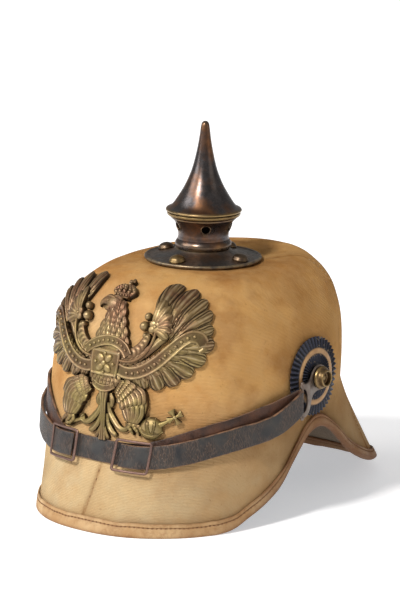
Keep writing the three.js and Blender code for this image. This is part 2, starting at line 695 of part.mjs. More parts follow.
// From the outer run's end at the buckle, round the bar, and back to the front.
function strapHalf(buckleTurn, bulge) {
  const end = Math.abs(buckleTurn) - STRAP.past;
  const outer = between(end, lastTurn, 16).map((turn) => onRun(turn, "outer", bulge));
  const inner = between(lastTurn, lastTurn / 18, 17).map((turn) => {
    const { point, face } = onRun(turn, "inner", 0);
    return { point, face: face.negate() };
  });
  return [...outer, ...roundBar.map((r) => ({ ...r, face: r.face.clone() })), ...inner];
}
const mirror = (v) => v && new THREE.Vector3(-v.x, v.y, v.z);
const leftHalf = strapHalf(BUCKLES.left, 0);
const rightHalf = strapHalf(BUCKLES.right, STRAP_BULGE).map((r) => ({
  point: mirror(r.point),
  face: mirror(r.face),
  across: mirror(r.across),
}));
const front = onRun(0, "inner", 0);
const run = [...leftHalf, { point: front.point, face: front.face.negate() }, ...rightHalf.reverse()];
const strap = run.map((here, i) => {
  const before = run[Math.max(i - 1, 0)].point;
  const after = run[Math.min(i + 1, run.length - 1)].point;
  const along = after.clone().sub(before).normalize();
  const across = here.across ? here.across.clone() : along.clone().cross(here.face).normalize().negate();
  if (across.z < 0) across.negate();
  const face = along.clone().cross(across).normalize();
  const corner = (side, out) =>
    here.point.clone().addScaledVector(across, (side * STRAP.width) / 2).addScaledVector(face, out * half);
  return [corner(-1, -1), corner(1, -1), corner(1, 1), corner(-1, 1)];
});
add("chin_strap", geometryOf(sweep(strap, false)), "leather");

// ---------------------------------------------------------------- buckles
for (const [side, turn] of Object.entries(BUCKLES)) {
  const [a, b] = [BUCKLE.along / 2, BUCKLE.across / 2];
  const { bend } = BUCKLE;
  const corners = [
    [1, 1],
    [-1, 1],
    [-1, -1],
    [1, -1],
  ];
  const centres = corners.flatMap(([sa, sb]) => {
    const ends = [
      { a: sa * a, b: sb * (b - bend) },
      { a: sa * (a - bend * 0.3), b: sb * (b - bend * 0.3) },
      { a: sa * (a - bend), b: sb * b },
    ];
    return sa * sb > 0 ? ends : ends.reverse();
  });
  const wire = centres.map((c) => {
    const radial = new THREE.Vector2(c.a / a, c.b / b).normalize();
    return range(6).map((i) => {
      const [round, out] = [Math.cos((i * Math.PI) / 3), Math.sin((i * Math.PI) / 3)];
      const reach = (BUCKLE.wire / 2) * round;
      const off = BUCKLE.off + (BUCKLE.wire / 2) * out;
      return offHelmet(turn, BUCKLE.z, c.a + radial.x * reach, c.b + radial.y * reach, off);
    });
  });
  add(`buckle_${side}`, geometryOf(sweep(wire, true)), "buckle");
}

export default helmet;
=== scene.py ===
# Finished looks of the spiked helmet, built over its CAD frame. Helmet sizes are in millimetres in
# a frame whose axis is the spike's; place() brings them to metres in the shared frame.
import math
import bpy
import numpy as np
from mathutils import Matrix, Vector, noise


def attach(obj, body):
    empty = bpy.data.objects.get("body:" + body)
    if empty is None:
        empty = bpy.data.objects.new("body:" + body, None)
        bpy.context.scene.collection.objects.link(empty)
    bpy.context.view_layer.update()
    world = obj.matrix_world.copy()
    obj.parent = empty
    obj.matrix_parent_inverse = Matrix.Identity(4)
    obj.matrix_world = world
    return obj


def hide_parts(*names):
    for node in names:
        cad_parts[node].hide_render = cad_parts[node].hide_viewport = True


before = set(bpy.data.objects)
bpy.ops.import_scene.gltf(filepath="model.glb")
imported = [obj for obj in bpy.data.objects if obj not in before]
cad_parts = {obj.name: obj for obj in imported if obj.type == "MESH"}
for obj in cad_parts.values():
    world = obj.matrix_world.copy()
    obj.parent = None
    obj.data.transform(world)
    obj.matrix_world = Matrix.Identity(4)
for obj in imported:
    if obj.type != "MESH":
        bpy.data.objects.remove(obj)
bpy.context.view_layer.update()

# ---------------------------------------------------------------- sizes shared with the CAD frame
MM = 0.001
AXIS_Y = -17.25  # the spike's axis
WIDEST_Y, WAIST_Z, WALL = 6.0, 80.0, 2.6
LEG, LEATHER, UNDER, SLACK = 8.0, 1.1, 1.5, 0.3  # binding leather
CROWN = {
    "z": [80.0, 96.0, 112.0, 126.0, 138.0, 147.0, 153.5, 158.0, 158.8],
    "lift": [0.0, 0.0, 0.0, 0.0, 2.9, 4.8, 6.2, 0.6, 0.0],
    "front": [99.3, 96.1, 93.2, 89.5, 85.3, 78.0, 66.0, 39.0, 13.0],
    "rear": [95.2, 96.6, 98.1, 98.7, 96.9, 89.5, 75.0, 39.0, 13.0],
    "half": [86.4, 86.5, 85.1, 81.6, 74.4, 64.3, 53.0, 39.0, 13.0],
}
PLAN = ("front", "rear", "half")
WAIST = [CROWN[key][0] for key in PLAN]
RIM = [121.0, 155.5, 85.5]
SQUARE_FRONT, SQUARE_REAR, SQUARE_RIM = 2.58, 2.02, 2.3
RIM_Y = [-130, -70, -48, -24, -9, 5, 19, 36, 60, 83, 106, 126, 144, 158]
RIM_Z = [1.7, 1.7, 9.5, 23.5, 41.0, 55.0, 58.5, 51.0, 33.5, 22.5, 15.0, 10.5, 5.5, 0.9]
FLARE_FRONT, FLARE_REAR = 1.6, 1.0
STRAP_TURN = [0.0, 0.04, 0.067, 0.1, 0.133, 0.1665, 0.19, 0.212]
STRAP_Z = {
    "inner": [50.1, 50.2, 53.0, 58.6, 64.0, 68.6, 72.8, 76.6],
    "outer": [50.1, 49.2, 50.4, 54.0, 58.6, 62.8, 65.4, 70.2],
}
STRAP_OFF = {
    "inner": [0.6, 0.6, 0.6, 0.6, 0.6, 0.8, 2.0, 3.8],
    "outer": [2.8, 2.8, 2.8, 2.8, 2.8, 3.2, 5.0, 7.8],
}
BUCKLE_TURNS = {"right": -0.036, "left": 0.0415}
SIDE_TURN, SIDE_Z = 0.254, 92.5
PLATE_FOOT, PLATE_MIDDLE = 56.0, 2.0


# ---------------------------------------------------------------- measures
def bell(x, width):
    return np.exp(-((x / width) ** 2))


def ramp(value, start, end):
    """0 up to the start, 1 from the end on, and even between them."""
    return np.clip((value - start) / (end - start), 0, 1)


def unit(v):
    return v / np.maximum(np.linalg.norm(v, axis=-1, keepdims=True), 1e-9)


def arc_lengths(points):
    """Length along a line of points, up to each of them."""
    return np.concatenate([[0], np.cumsum(np.linalg.norm(np.diff(points, axis=0), axis=-1))])


def smooth(values, at):
    """Value of a short table at fractional rows, through all its rows."""
    values = np.asarray(values, float)
    last = len(values) - 1
    t = np.clip(np.asarray(at, float), 0, last)
    i = np.minimum(t.astype(int), last - 1)
    a, b, c, d = (values[np.clip(i + k, 0, last)] for k in (-1, 0, 1, 2))
    f = t - i
    square, cube = 2 * a - 5 * b + 4 * c - d, 3 * b - a - 3 * c + d
    return 0.5 * (2 * b + (c - a) * f + square * f**2 + cube * f**3)


def searched(low, high, falls_short):
    """Where something that rises from low to high reaches its aim."""
    for _ in range(26):
        middle = (low + high) / 2
        short = falls_short(middle)
        low, high = np.where(short, middle, low), np.where(short, high, middle)
    return (low + high) / 2


def row_at(values, wanted):
    """Fractional row at which a rising table reaches a value."""
    wanted = np.asarray(wanted, float)
    start = np.zeros(wanted.shape)
    return searched(start, start + len(values) - 1, lambda row: smooth(values, row) < wanted)


def bumps(points, scale, seed):
    """Smooth seeded unevenness of points in millimetres, about -1 to 1."""
    flat = np.asarray(points, float).reshape(-1, 3) / scale + seed * 7.31
    return np.array([noise.noise(Vector(p)) for p in flat]).reshape(np.shape(points)[:-1])


# ---------------------------------------------------------------- the helmet's outer surface
def oval(front, rear, half, square, turn):
    """Plan of one section; turn is 0 at the front and a quarter at the wearer's left."""
    s, c = np.sin(turn * 2 * np.pi), np.cos(turn * 2 * np.pi)
    power = np.where(c > 0, 2 / square, 2 / SQUARE_REAR)
    reach = np.where(c > 0, front + WIDEST_Y, rear - WIDEST_Y)
    x = half * np.sign(s) * np.abs(s) ** power
    return x, WIDEST_Y - reach * np.sign(c) * np.abs(c) ** power


def crown_point(turn, row):
    turn, row = np.broadcast_arrays(np.asarray(turn, float), np.asarray(row, float))
    x, y = oval(*(smooth(CROWN[key], row) for key in PLAN), SQUARE_FRONT, turn)
    behind = np.clip(0.5 - 0.5 * np.cos(turn * 2 * np.pi), 0, 1) ** 0.8
    return np.stack([x, y, smooth(CROWN["z"], row) + behind * smooth(CROWN["lift"], row)], -1)


def rim_height(y):
    return smooth(RIM_Z, row_at(RIM_Y, y))


def peak_point(turn, rise):
    """A point of the peaks: rise is 0 at the rim and 1 at the crown's waist."""
    turn, rise = np.broadcast_arrays(np.asarray(turn, float), np.asarray(rise, float))
    wx, wy = oval(*WAIST, SQUARE_FRONT, turn)
    rx, ry = oval(*RIM, SQUARE_RIM, turn)
    ahead = 0.5 + 0.5 * np.cos(turn * 2 * np.pi)
    down = np.clip(1 - rise, 0, 2)
    out = down ** (FLARE_REAR + (FLARE_FRONT - FLARE_REAR) * ahead)
    z = WAIST_Z + (rim_height(ry) - WAIST_Z) * down
    return np.stack([wx + (rx - wx) * out, wy + (ry - wy) * out, z], -1)


def helmet_point(turn, z):
    turn, z = np.broadcast_arrays(np.asarray(turn, float), np.asarray(z, float))
    edge = rim_height(oval(*RIM, SQUARE_RIM, turn)[1])
    low = peak_point(turn, (z - edge) / (WAIST_Z - edge))
    high = crown_point(turn, row_at(CROWN["z"], np.maximum(z, WAIST_Z)))
    return np.where((z >= WAIST_Z)[..., None], high, low)


def helmet_normal(turn, z, du=0.001, dv=0.2):
    along = helmet_point(turn + du, z) - helmet_point(turn - du, z)
    return unit(np.cross(along, helmet_point(turn, z + dv) - helmet_point(turn, z - dv)))


def off_helmet(turn, z, out):
    """A point that stands off the helmet's surface."""
    return helmet_point(turn, z) + helmet_normal(turn, z) * np.asarray(out, float)[..., None]


ARC_STEP = 0.5
ARCS = np.arange(0, 96.0, ARC_STEP)


def front_tables():
    """Heights up the front, their lengths along it, and the turn that each arc off its middle ends at."""
    z = np.arange(PLATE_FOOT - 8, 158.01, ARC_STEP)
    up = arc_lengths(helmet_point(0 * z, z))
    turns = np.linspace(0, 0.27, 271)
    grid = helmet_point(turns[None, :], z[:, None])
    ends = [np.interp(ARCS, arc_lengths(row), turns) for row in grid]
    return z, up - np.interp(PLATE_FOOT, z, up), np.array(ends)


FRONT_Z, FRONT_B, FRONT_TURNS = front_tables()


def on_front(a, b, out):
    """A point over the front: a is the arc from the plate's middle, b the way up, out the standing off."""
    a = np.asarray(a, float) + PLATE_MIDDLE
    z = np.interp(b, FRONT_B, FRONT_Z)
    i = np.clip((z - FRONT_Z[0]) / ARC_STEP, 0, len(FRONT_Z) - 1.001)
    j = np.clip(np.abs(a) / ARC_STEP, 0, len(ARCS) - 1.001)
    i0, j0 = i.astype(int), j.astype(int)
    fi, fj = i - i0, j - j0
    low, high = (FRONT_TURNS[k, j0] * (1 - fj) + FRONT_TURNS[k, j0 + 1] * fj for k in (i0, i0 + 1))
    return off_helmet(np.sign(a) * (low * (1 - fi) + high * fi), z, out)


# ---------------------------------------------------------------- mesh helpers
def place(points):
    return (np.asarray(points, float) + [0, AXIS_Y, 0]) * MM


def points_of(piece):
    return np.array([v.co for v in piece.data.vertices])


def set_points(piece, points):
    piece.data.vertices.foreach_set("co", np.asarray(points, np.float32).ravel())
    piece.data.update()


def set_attribute(piece, name, values):
    layer = piece.data.attributes.new(name, "FLOAT", "POINT")
    layer.data.foreach_set("value", np.asarray(values, np.float32).ravel())


def pick(*pieces):
    """Selects these pieces only, the first of them active."""
    if bpy.context.object and bpy.context.object.mode != "OBJECT":
        bpy.ops.object.mode_set(mode="OBJECT")
    bpy.ops.object.select_all(action="DESELECT")
    for piece in reversed(pieces):
        piece.select_set(True)
        bpy.context.view_layer.objects.active = piece


def edit(piece, *steps):
    """Takes modelling steps on a piece's whole mesh, each a tool with its settings."""
    pick(piece)
    bpy.ops.object.mode_set(mode="EDIT")
    for tool, settings in steps:
        bpy.ops.mesh.select_all(action="SELECT")
        tool(**settings)
    bpy.ops.object.mode_set(mode="OBJECT")


def shade(piece, degrees):
    pick(piece)
    bpy.ops.object.shade_smooth_by_angle(angle=math.radians(degrees))


def cleaned(piece, soft, near=0.000002):
    """Welds doubles, turns faces out and shades them smooth up to an angle."""
    edit(
        piece,
        (bpy.ops.mesh.remove_doubles, {"threshold": near}),
        (bpy.ops.mesh.dissolve_degenerate, {"threshold": 1e-7}),
        (bpy.ops.mesh.normals_make_consistent, {"inside": False}),
    )
    shade(piece, soft)
    return piece


def named(piece, name):
    piece.name = piece.data.name = name
    return piece


def joined(name, parts):
    pick(*parts)
    bpy.ops.object.join()
    return named(bpy.context.object, name)


def apply_modifier(piece, kind, **settings):
    pick(piece)
    modifier = piece.modifiers.new(kind.title(), kind)
    for key, value in settings.items():
        setattr(modifier, key, value)
    bpy.ops.object.modifier_apply(modifier=modifier.name)


def loft(name, points, round_ring=False, round_run=False, capped=False, uv=None, tone=None, soft=40):
    """A skin through rows of points; a round ring joins each row's ends, caps close to a middle.
    With soft None it is left for a later join."""
    points = np.asarray(points, float)
    run, ring = np.arange(len(points)), np.arange(points.shape[1])
    if capped:
        run = np.concatenate([run[:1], run, run[-1:]])
    if round_run:
        run = np.append(run, 0)
    if round_ring:
        ring = np.append(ring, 0)
    grid = points[run][:, ring]
    if capped:
        grid[0], grid[-1] = points[0].mean(0), points[-1].mean(0)
    pick()
    bpy.ops.mesh.primitive_grid_add(x_subdivisions=len(ring) - 1, y_subdivisions=len(run) - 1, size=1)
    piece = named(bpy.context.object, name)
    set_points(piece, place(grid))
    if uv is None:
        across = np.linalg.norm(np.diff(grid, axis=1), axis=2).mean(0)
        along = np.linalg.norm(np.diff(grid, axis=0), axis=2).mean(1)
        u, v = (np.concatenate([[0], np.cumsum(steps)]) for steps in (across, along))
        uv = np.stack(np.meshgrid(u, v), -1) * MM
    else:
        uv = uv[run]
    corners = np.empty(len(piece.data.loops), np.int32)
    piece.data.loops.foreach_get("vertex_index", corners)
    flat = np.asarray(uv, np.float32).reshape(-1, 2)[corners]
    piece.data.uv_layers[0].data.foreach_set("uv", flat.ravel())
    if tone is not None:
        set_attribute(piece, "tone", tone[run][:, ring])
    return piece if soft is None else cleaned(piece, soft)


def turned(name, profile, steps, soft=35):
    """A profile of radius and height spun about the upright axis."""
    pick()
    bpy.ops.mesh.primitive_circle_add(vertices=len(profile), radius=1, fill_type="NOTHING")
    piece = named(bpy.context.object, name)
    set_points(piece, [(r * MM, 0, z * MM) for r, z in profile])
    spin = {"steps": steps, "angle": 2 * math.pi, "center": (0, 0, 0), "axis": (0, 0, 1)}
    edit(piece, (bpy.ops.mesh.spin, spin))
    return cleaned(piece, soft)


def rounded(profile):
    """Cuts the corners of a closed profile."""
    profile = np.array(profile, float)
    ahead = np.roll(profile, -1, 0)
    return np.stack([0.78 * profile + 0.22 * ahead, 0.22 * profile + 0.78 * ahead], 1).reshape(-1, 2)


def to_axis(piece):
    """Moves a piece that was turned about the middle to the spike's axis."""
    set_points(piece, place(points_of(piece) / MM))
    return piece


def repeated(name, model, frames):
    """Copies of a small closed shape at origins and axes in millimetres."""
    shape, faces = points_of(model), [tuple(p.vertices) for p in model.data.polygons]
    bpy.data.objects.remove(model, do_unlink=True)
    origins, axes = (np.concatenate(part) for part in zip(*frames))
    points = np.einsum("vk,nkc->nvc", shape, axes) + origins[:, None]
    starts = range(0, len(origins) * len(shape), len(shape))
    faces = [tuple(start + corner for corner in face) for start in starts for face in faces]
    mesh = bpy.data.meshes.new(name)
    mesh.from_pydata(place(points.reshape(-1, 3)).tolist(), [], faces)
    piece = bpy.data.objects.new(name, mesh)
    bpy.context.scene.collection.objects.link(piece)
    return cleaned(piece, 60, 1e-7)


# ---------------------------------------------------------------- shared material effects
def feed(tree, socket, value):
    """Brings a number, a colour, a direction or another node's output into a socket."""
    if isinstance(value, tuple):
        socket.default_value = (*value, 1.0) if socket.type == "RGBA" else value
    elif isinstance(value, (int, float)):
        socket.default_value = value
    else:
        tree.links.new(value, socket)


def node(tree, kind, inputs, out=0, **settings):
    """Adds a node with its settings and inputs, and gives one of its outputs."""
    made = tree.nodes.new(kind)
    for key, value in settings.items():
        setattr(made, key, value)
    for label, value in inputs.items():
        feed(tree, made.inputs[label], value)
    return made.outputs[out]


def worked(tree, operation, a, b=0.5, clamp=False):
    return node(tree, "ShaderNodeMath", {0: a, 1: b}, operation=operation, use_clamp=clamp)


def stretch(tree, value, low, high, first=0.0, last=1.0):
    """Maps low to first and high to last, and holds the value there beyond them."""
    inputs = {"Value": value, "From Min": low, "From Max": high, "To Min": first, "To Max": last}
    return node(tree, "ShaderNodeMapRange", inputs, "Result", clamp=True)


def new_group(name, inputs, outputs):
    """A node group with named inputs, each with its usual value, and named outputs."""
    tree = bpy.data.node_groups.new(name, "ShaderNodeTree")
    for label, value in inputs.items():
        kind = "NodeSocketVector" if isinstance(value, tuple) else "NodeSocketFloat"
        tree.interface.new_socket(name=label, in_out="INPUT", socket_type=kind).default_value = value
    for label in outputs:
        tree.interface.new_socket(name=label, in_out="OUTPUT", socket_type="NodeSocketFloat")
    return tree, tree.nodes.new("NodeGroupInput").outputs, tree.nodes.new("NodeGroupOutput").inputs


NOWHERE = (0.0, 0.0, 0.0)


def patches_group():
    """Soft-edged patches: how much of a surface they cover and how large they are."""
    given = {"Place": NOWHERE, "Scale": 20.0, "Low": 0.45, "High": 0.65, "Detail": 5.0}
    tree, given, result = new_group("patches", given, ["Mask"])
    inputs = {"Vector": given["Place"], "Scale": given["Scale"], "Detail": given["Detail"], "Roughness": 0.6}
    cloud = node(tree, "ShaderNodeTexNoise", inputs)
    feed(tree, result["Mask"], stretch(tree, cloud, given["Low"], given["High"]))
    return tree


def weave_group():
    """Fine crosswise ribs of a cloth with fainter threads over them, from its flat measures; its Shade is
    painted shade for the ribs' hollows.
    """
    given = {"Flat": NOWHERE, "Rib Pitch": 0.00085, "Thread Pitch": 0.0005}
    tree, given, result = new_group("ribbed weave", given, ["Height", "Shade"])
    wander = node(tree, "ShaderNodeTexNoise", {"Vector": given["Flat"], "Scale": 150.0, "Detail": 2.0})
    shift = worked(tree, "MULTIPLY", worked(tree, "SUBTRACT", wander, 0.5), 0.9)
    waves = []
    for axis, pitch in (("Y", "Rib Pitch"), ("X", "Thread Pitch")):
        measure = node(tree, "ShaderNodeSeparateXYZ", {0: given["Flat"]}, axis)
        turns = worked(tree, "ADD", worked(tree, "DIVIDE", measure, given[pitch]), shift)
        wave = worked(tree, "SINE", worked(tree, "MULTIPLY", turns, 2 * math.pi))
        waves.append(worked(tree, "MULTIPLY", worked(tree, "ADD", wave, 1.0), 0.5))
    both = worked(tree, "ADD", waves[0], worked(tree, "MULTIPLY", waves[1], 0.35))
    height = worked(tree, "MULTIPLY", both, 0.74)
    feed(tree, result["Height"], height)
    feed(tree, result["Shade"], stretch(tree, height, 0.1, 0.8))
    return tree


def edges_group():
    """How rubbed a surface is, from how far it stands out, broken up by small patches."""
    given = {"Place": NOWHERE, "Proud": 0.5, "Low": 0.5, "High": 0.6, "Scale": 150.0}
    tree, given, result = new_group("rubbed edges", given, ["Mask"])
    inputs = {"Vector": given["Place"], "Scale": given["Scale"], "Detail": 4.0}
    cloud = stretch(tree, node(tree, "ShaderNodeTexNoise", inputs), 0.3, 0.6)
    edge = stretch(tree, given["Proud"], given["Low"], given["High"])
    feed(tree, result["Mask"], worked(tree, "MULTIPLY", edge, cloud, clamp=True))
    return tree


def cracks_group():
    """Fine cracks across a strip of leather, from its flat measures."""
    given = {"Flat": NOWHERE, "Stretch": (1.0, 1.0, 1.0), "Scale": 300.0, "Width": 0.08, "Reach Scale": 60.0}
    tree, given, result = new_group("leather cracks", given, ["Cracks"])
    shaped = {0: given["Flat"], 1: given["Stretch"]}
    shaped = node(tree, "ShaderNodeVectorMath", shaped, operation="MULTIPLY")
    inputs = {"Vector": shaped, "Scale": given["Scale"]}
    gap = node(tree, "ShaderNodeTexVoronoi", inputs, "Distance", feature="DISTANCE_TO_EDGE")
    thin = worked(tree, "SUBTRACT", 1.0, stretch(tree, gap, 0.0, given["Width"]))
    inputs = {"Vector": given["Flat"], "Scale": given["Reach Scale"]}
    reach = stretch(tree, node(tree, "ShaderNodeTexNoise", inputs), 0.36, 0.56)
    feed(tree, result["Cracks"], worked(tree, "MULTIPLY", thin, reach, clamp=True))
    return tree


PATCHES, WEAVE, EDGES, CRACKS = patches_group(), weave_group(), edges_group(), cracks_group()


class Finish:
    """A material being put together: its tree, its shader and its coordinates."""

    def __init__(self, name, **constants):
        self.material = bpy.data.materials.new(name)
        self.material.use_nodes = True
        self.tree = self.material.node_tree
        self.shader = self.tree.nodes["Principled BSDF"]
        for label, value in constants.items():
            self.shader.inputs[label.replace("_", " ")].default_value = value
        where = self.tree.nodes.new("ShaderNodeTexCoord")
        self.place, self.flat = where.outputs["Object"], where.outputs["UV"]

    def group(self, tree, out, inputs):
        return node(self.tree, "ShaderNodeGroup", inputs, out, node_tree=tree)

    def patches(self, scale, low, high, detail=5.0):
        inputs = {"Place": self.place, "Scale": scale, "Low": low, "High": high, "Detail": detail}
        return self.group(PATCHES, "Mask", inputs)

    def rubbed(self, scale, low, high, proud=None):
        """Worn places; where nothing else says how proud they are, the mesh's own edges do."""
        if proud is None:
            proud = node(self.tree, "ShaderNodeNewGeometry", {}, "Pointiness")
        inputs = {"Place": self.place, "Proud": proud, "Low": low, "High": high, "Scale": scale}
        return self.group(EDGES, "Mask", inputs)

    def attribute(self, name):
        return node(self.tree, "ShaderNodeAttribute", {}, "Fac", attribute_name=name)

    def height(self, low, high):
        z = node(self.tree, "ShaderNodeSeparateXYZ", {0: self.place}, "Z")
        return stretch(self.tree, z, low, high)

    def between(self, mask, first, last):
        return stretch(self.tree, mask, 0.0, 1.0, first, last)

    def over(self, under, colour, mask, most=1.0):
        """Lays a colour over another where the mask says, at most so strongly."""
        if most < 1.0:
            mask = self.between(mask, 0.0, most)
        return node(self.tree, "ShaderNodeMix", {0: mask, 6: under, 7: colour}, 2, data_type="RGBA")

    def bump(self, height, distance, strength, under=None):
        inputs = {"Height": height, "Distance": distance, "Strength": strength}
        if under is not None:
            inputs["Normal"] = under
        return node(self.tree, "ShaderNodeBump", inputs, "Normal")

    def done(self, colour, roughness, normal):
        for label, value in (("Base Color", colour), ("Roughness", roughness), ("Normal", normal)):
            feed(self.tree, self.shader.inputs[label], value)
        return self.material


# ---------------------------------------------------------------- the helmet's materials
def cloth_finish():
    f = Finish("ribbed tan cloth", Specular_IOR_Level=0.05)
    weave, raised = (f.group(WEAVE, out, {"Flat": f.flat}) for out in ("Shade", "Height"))
    broad = f.patches(13.0, 0.45, 0.58)
    stain = f.patches(34.0, 0.47, 0.63, 9.0)
    faint = f.patches(95.0, 0.42, 0.6, 6.0)
    specks = f.patches(420.0, 0.66, 0.76, 2.0)
    tone = f.attribute("tone")
    crown = f.over((0.63, 0.355, 0.125), (0.42, 0.175, 0.043), broad, 0.58)
    crown = f.over(crown, (0.29, 0.118, 0.034), stain, 0.52)
    peaks = f.over((0.52, 0.41, 0.245), (0.46, 0.29, 0.125), broad, 0.35)
    peaks = f.over(peaks, (0.38, 0.215, 0.090), stain, 0.45)
    colour = f.over(peaks, crown, f.height(0.03, 0.095))
    colour = f.over(colour, (0.63, 0.42, 0.20), faint, 0.22)
    colour = f.over(colour, (0.70, 0.495, 0.265), stretch(f.tree, tone, 0.0, -0.6))  # painted light: a lighter patch where tone is below 0
    # darker where tone is above 0: stains and dirt, with painted shade round the plate and the spike's
    # painted shadow
    colour = f.over(colour, (0.165, 0.064, 0.016), tone)
    # painted shade in the hollows of the weave's ribs
    colour = f.over(colour, (0.25, 0.13, 0.045), f.between(weave, 0.38, 0.0))
    colour = f.over(colour, (0.20, 0.10, 0.04), specks, 0.4)
    return f.done(colour, 0.9, f.bump(raised, 0.00028, 1.0, f.bump(faint, 0.0006, 0.4)))


def felt_finish():
    f = Finish("felt inside", Specular_IOR_Level=0.15, Sheen_Weight=0.2)
    cloud, fibres = f.patches(60.0, 0.3, 0.7, 8.0), f.patches(900.0, 0.3, 0.7)
    colour = f.over((0.16, 0.115, 0.075), (0.23, 0.17, 0.115), cloud)
    return f.done(colour, 0.95, f.bump(fibres, 0.0004, 0.8))


def binding_finish():
    f = Finish("tan binding leather", Specular_IOR_Level=0.3)
    cloud, scuffs = f.patches(40.0, 0.38, 0.62, 6.0), f.patches(210.0, 0.50, 0.66, 7.0)
    grain = f.patches(1200.0, 0.3, 0.7, 3.0)
    colour = f.over((0.46, 0.305, 0.155), (0.34, 0.195, 0.085), cloud)
    colour = f.over(colour, (0.25, 0.125, 0.050), scuffs, 0.5)
    colour = f.over(colour, (0.135, 0.052, 0.017), f.attribute("tone"), 0.9)
    normal = f.bump(scuffs, 0.00035, 0.6, f.bump(grain, 0.00015, 0.5))
    return f.done(colour, f.between(cloud, 0.62, 0.8), normal)


def thread_finish(name, colour, dark):
    f = Finish(name, Specular_IOR_Level=0.3)
    cloud = f.patches(300.0, 0.3, 0.7)
    return f.done(f.over(colour, dark, cloud), 0.8, f.bump(cloud, 0.0001, 0.5))


SPIKE_RIM_FOOT, SPIKE_RIM_TOP = (0.1880, 0.1890), (0.1916, 0.1928)


def metal_finish(name, metallic, cloud, fine, edge, coats, deep_most, edge_most, rough, bump, rim=False):
    """Metal with a patchy patina, fine dark places and rubbed edges. The coats are the first, the
    second, the deep and the rubbed one."""
    f = Finish(name, Metallic=metallic)
    cloud, fine, edge = f.patches(*cloud), f.patches(*fine), f.rubbed(*edge)
    first, second, deep, rubbed = coats
    colour = f.over(f.over(first, second, cloud), deep, fine, deep_most)
    if rim:  # the spike's wide rim is worn down to a brassy tone
        worn = f.over((0.30, 0.205, 0.085), (0.10, 0.065, 0.035), fine, 0.6)
        worn = f.over(worn, colour, f.height(*SPIKE_RIM_TOP))
        colour = f.over(colour, worn, f.height(*SPIKE_RIM_FOOT))
    mask, low, high = rough
    rough = f.between(fine if mask == "fine" else cloud, low, high)
    return f.done(f.over(colour, rubbed, edge, edge_most), rough, f.bump(fine, *bump))


def brass_finish(name, bright, dark, deep):
    coats = (bright, dark, deep, tuple(1.5 * c for c in bright))
    return metal_finish(
        name, 0.9, (60.0, 0.35, 0.68, 7.0), (480.0, 0.35, 0.7, 4.0), (220.0, 0.5, 0.58), coats,
        0.4, 0.7, ("cloud", 0.30, 0.42), (0.00012, 0.45),
    )


def steel_finish(name, first, second, rust, most):
    coats = (first, second, rust, tuple(1.9 * c for c in first))
    return metal_finish(
        name, 0.8, (110.0, 0.38, 0.66, 6.0), (700.0, 0.35, 0.7, 4.0), (300.0, 0.51, 0.6), coats,
        most, 0.6, ("cloud", 0.38, 0.58), (0.00015, 0.6),
    )


def eagle_finish():
    """Stamped brass gone olive, with red-brown patches, black in its hollows and rubbed on its crests, which
    are paler as wear and as a painted highlight.
    """
    f = Finish("aged stamped brass", Metallic=0.66, Specular_IOR_Level=0.4)
    cloud, spots = f.patches(38.0, 0.44, 0.57, 6.0), f.patches(170.0, 0.46, 0.62, 6.0)
    fine, tone = f.patches(420.0, 0.3, 0.72, 4.0), f.attribute("tone")
    olive = f.over((0.300, 0.225, 0.080), (0.200, 0.105, 0.055), cloud, 0.8)
    brown = f.over((0.260, 0.160, 0.075), (0.185, 0.074, 0.042), cloud)
    colour = f.over(olive, brown, f.height(0.100, 0.150), 0.8)
    colour = f.over(colour, (0.120, 0.075, 0.038), spots, 0.45)
    colour = f.over(colour, (0.11, 0.078, 0.036), fine, 0.3)
    colour = f.over(colour, (0.024, 0.015, 0.007), stretch(f.tree, tone, 0.64, 0.14))
    # paler crests: rubbed brass and a painted highlight
    rubbed_crests_and_highlights = f.rubbed(140.0, 0.64, 0.95, tone)
    colour = f.over(colour, (0.44, 0.345, 0.205), rubbed_crests_and_highlights, 0.65)
    normal = f.bump(spots, 0.00018, 0.35, f.bump(fine, 0.00014, 0.5))
    return f.done(colour, f.between(rubbed_crests_and_highlights, 0.44, 0.32), normal)


def cockade_finish():
    """Blue-black paint on the fluted metal, with a plain cream ring and worn flute crests; a lighter blue on
    the crests is a painted glint and the near-black valleys are painted shade.
    """
    f = Finish("blue-black and cream paint", Specular_IOR_Level=0.28)
    tone = f.attribute("tone")
    chips, grime = f.patches(520.0, 0.60, 0.68, 4.0), f.patches(240.0, 0.35, 0.7)
    # painted glint on the flute crests, painted shade in the flute valleys
    dark = f.over((0.004, 0.004, 0.006), (0.026, 0.030, 0.052), stretch(f.tree, tone, 0.15, 1.0))
    dark = f.over(dark, (0.07, 0.07, 0.085), f.rubbed(400.0, 0.75, 1.0, tone), 0.5)
    cream = f.over((0.47, 0.28, 0.125), (0.30, 0.16, 0.07), grime, 0.8)
    colour = f.over(f.over(dark, cream, f.attribute("ring")), (0.30, 0.22, 0.13), chips, 0.6)
    return f.done(colour, f.between(grime, 0.38, 0.6), f.bump(grime, 0.00015, 0.4))


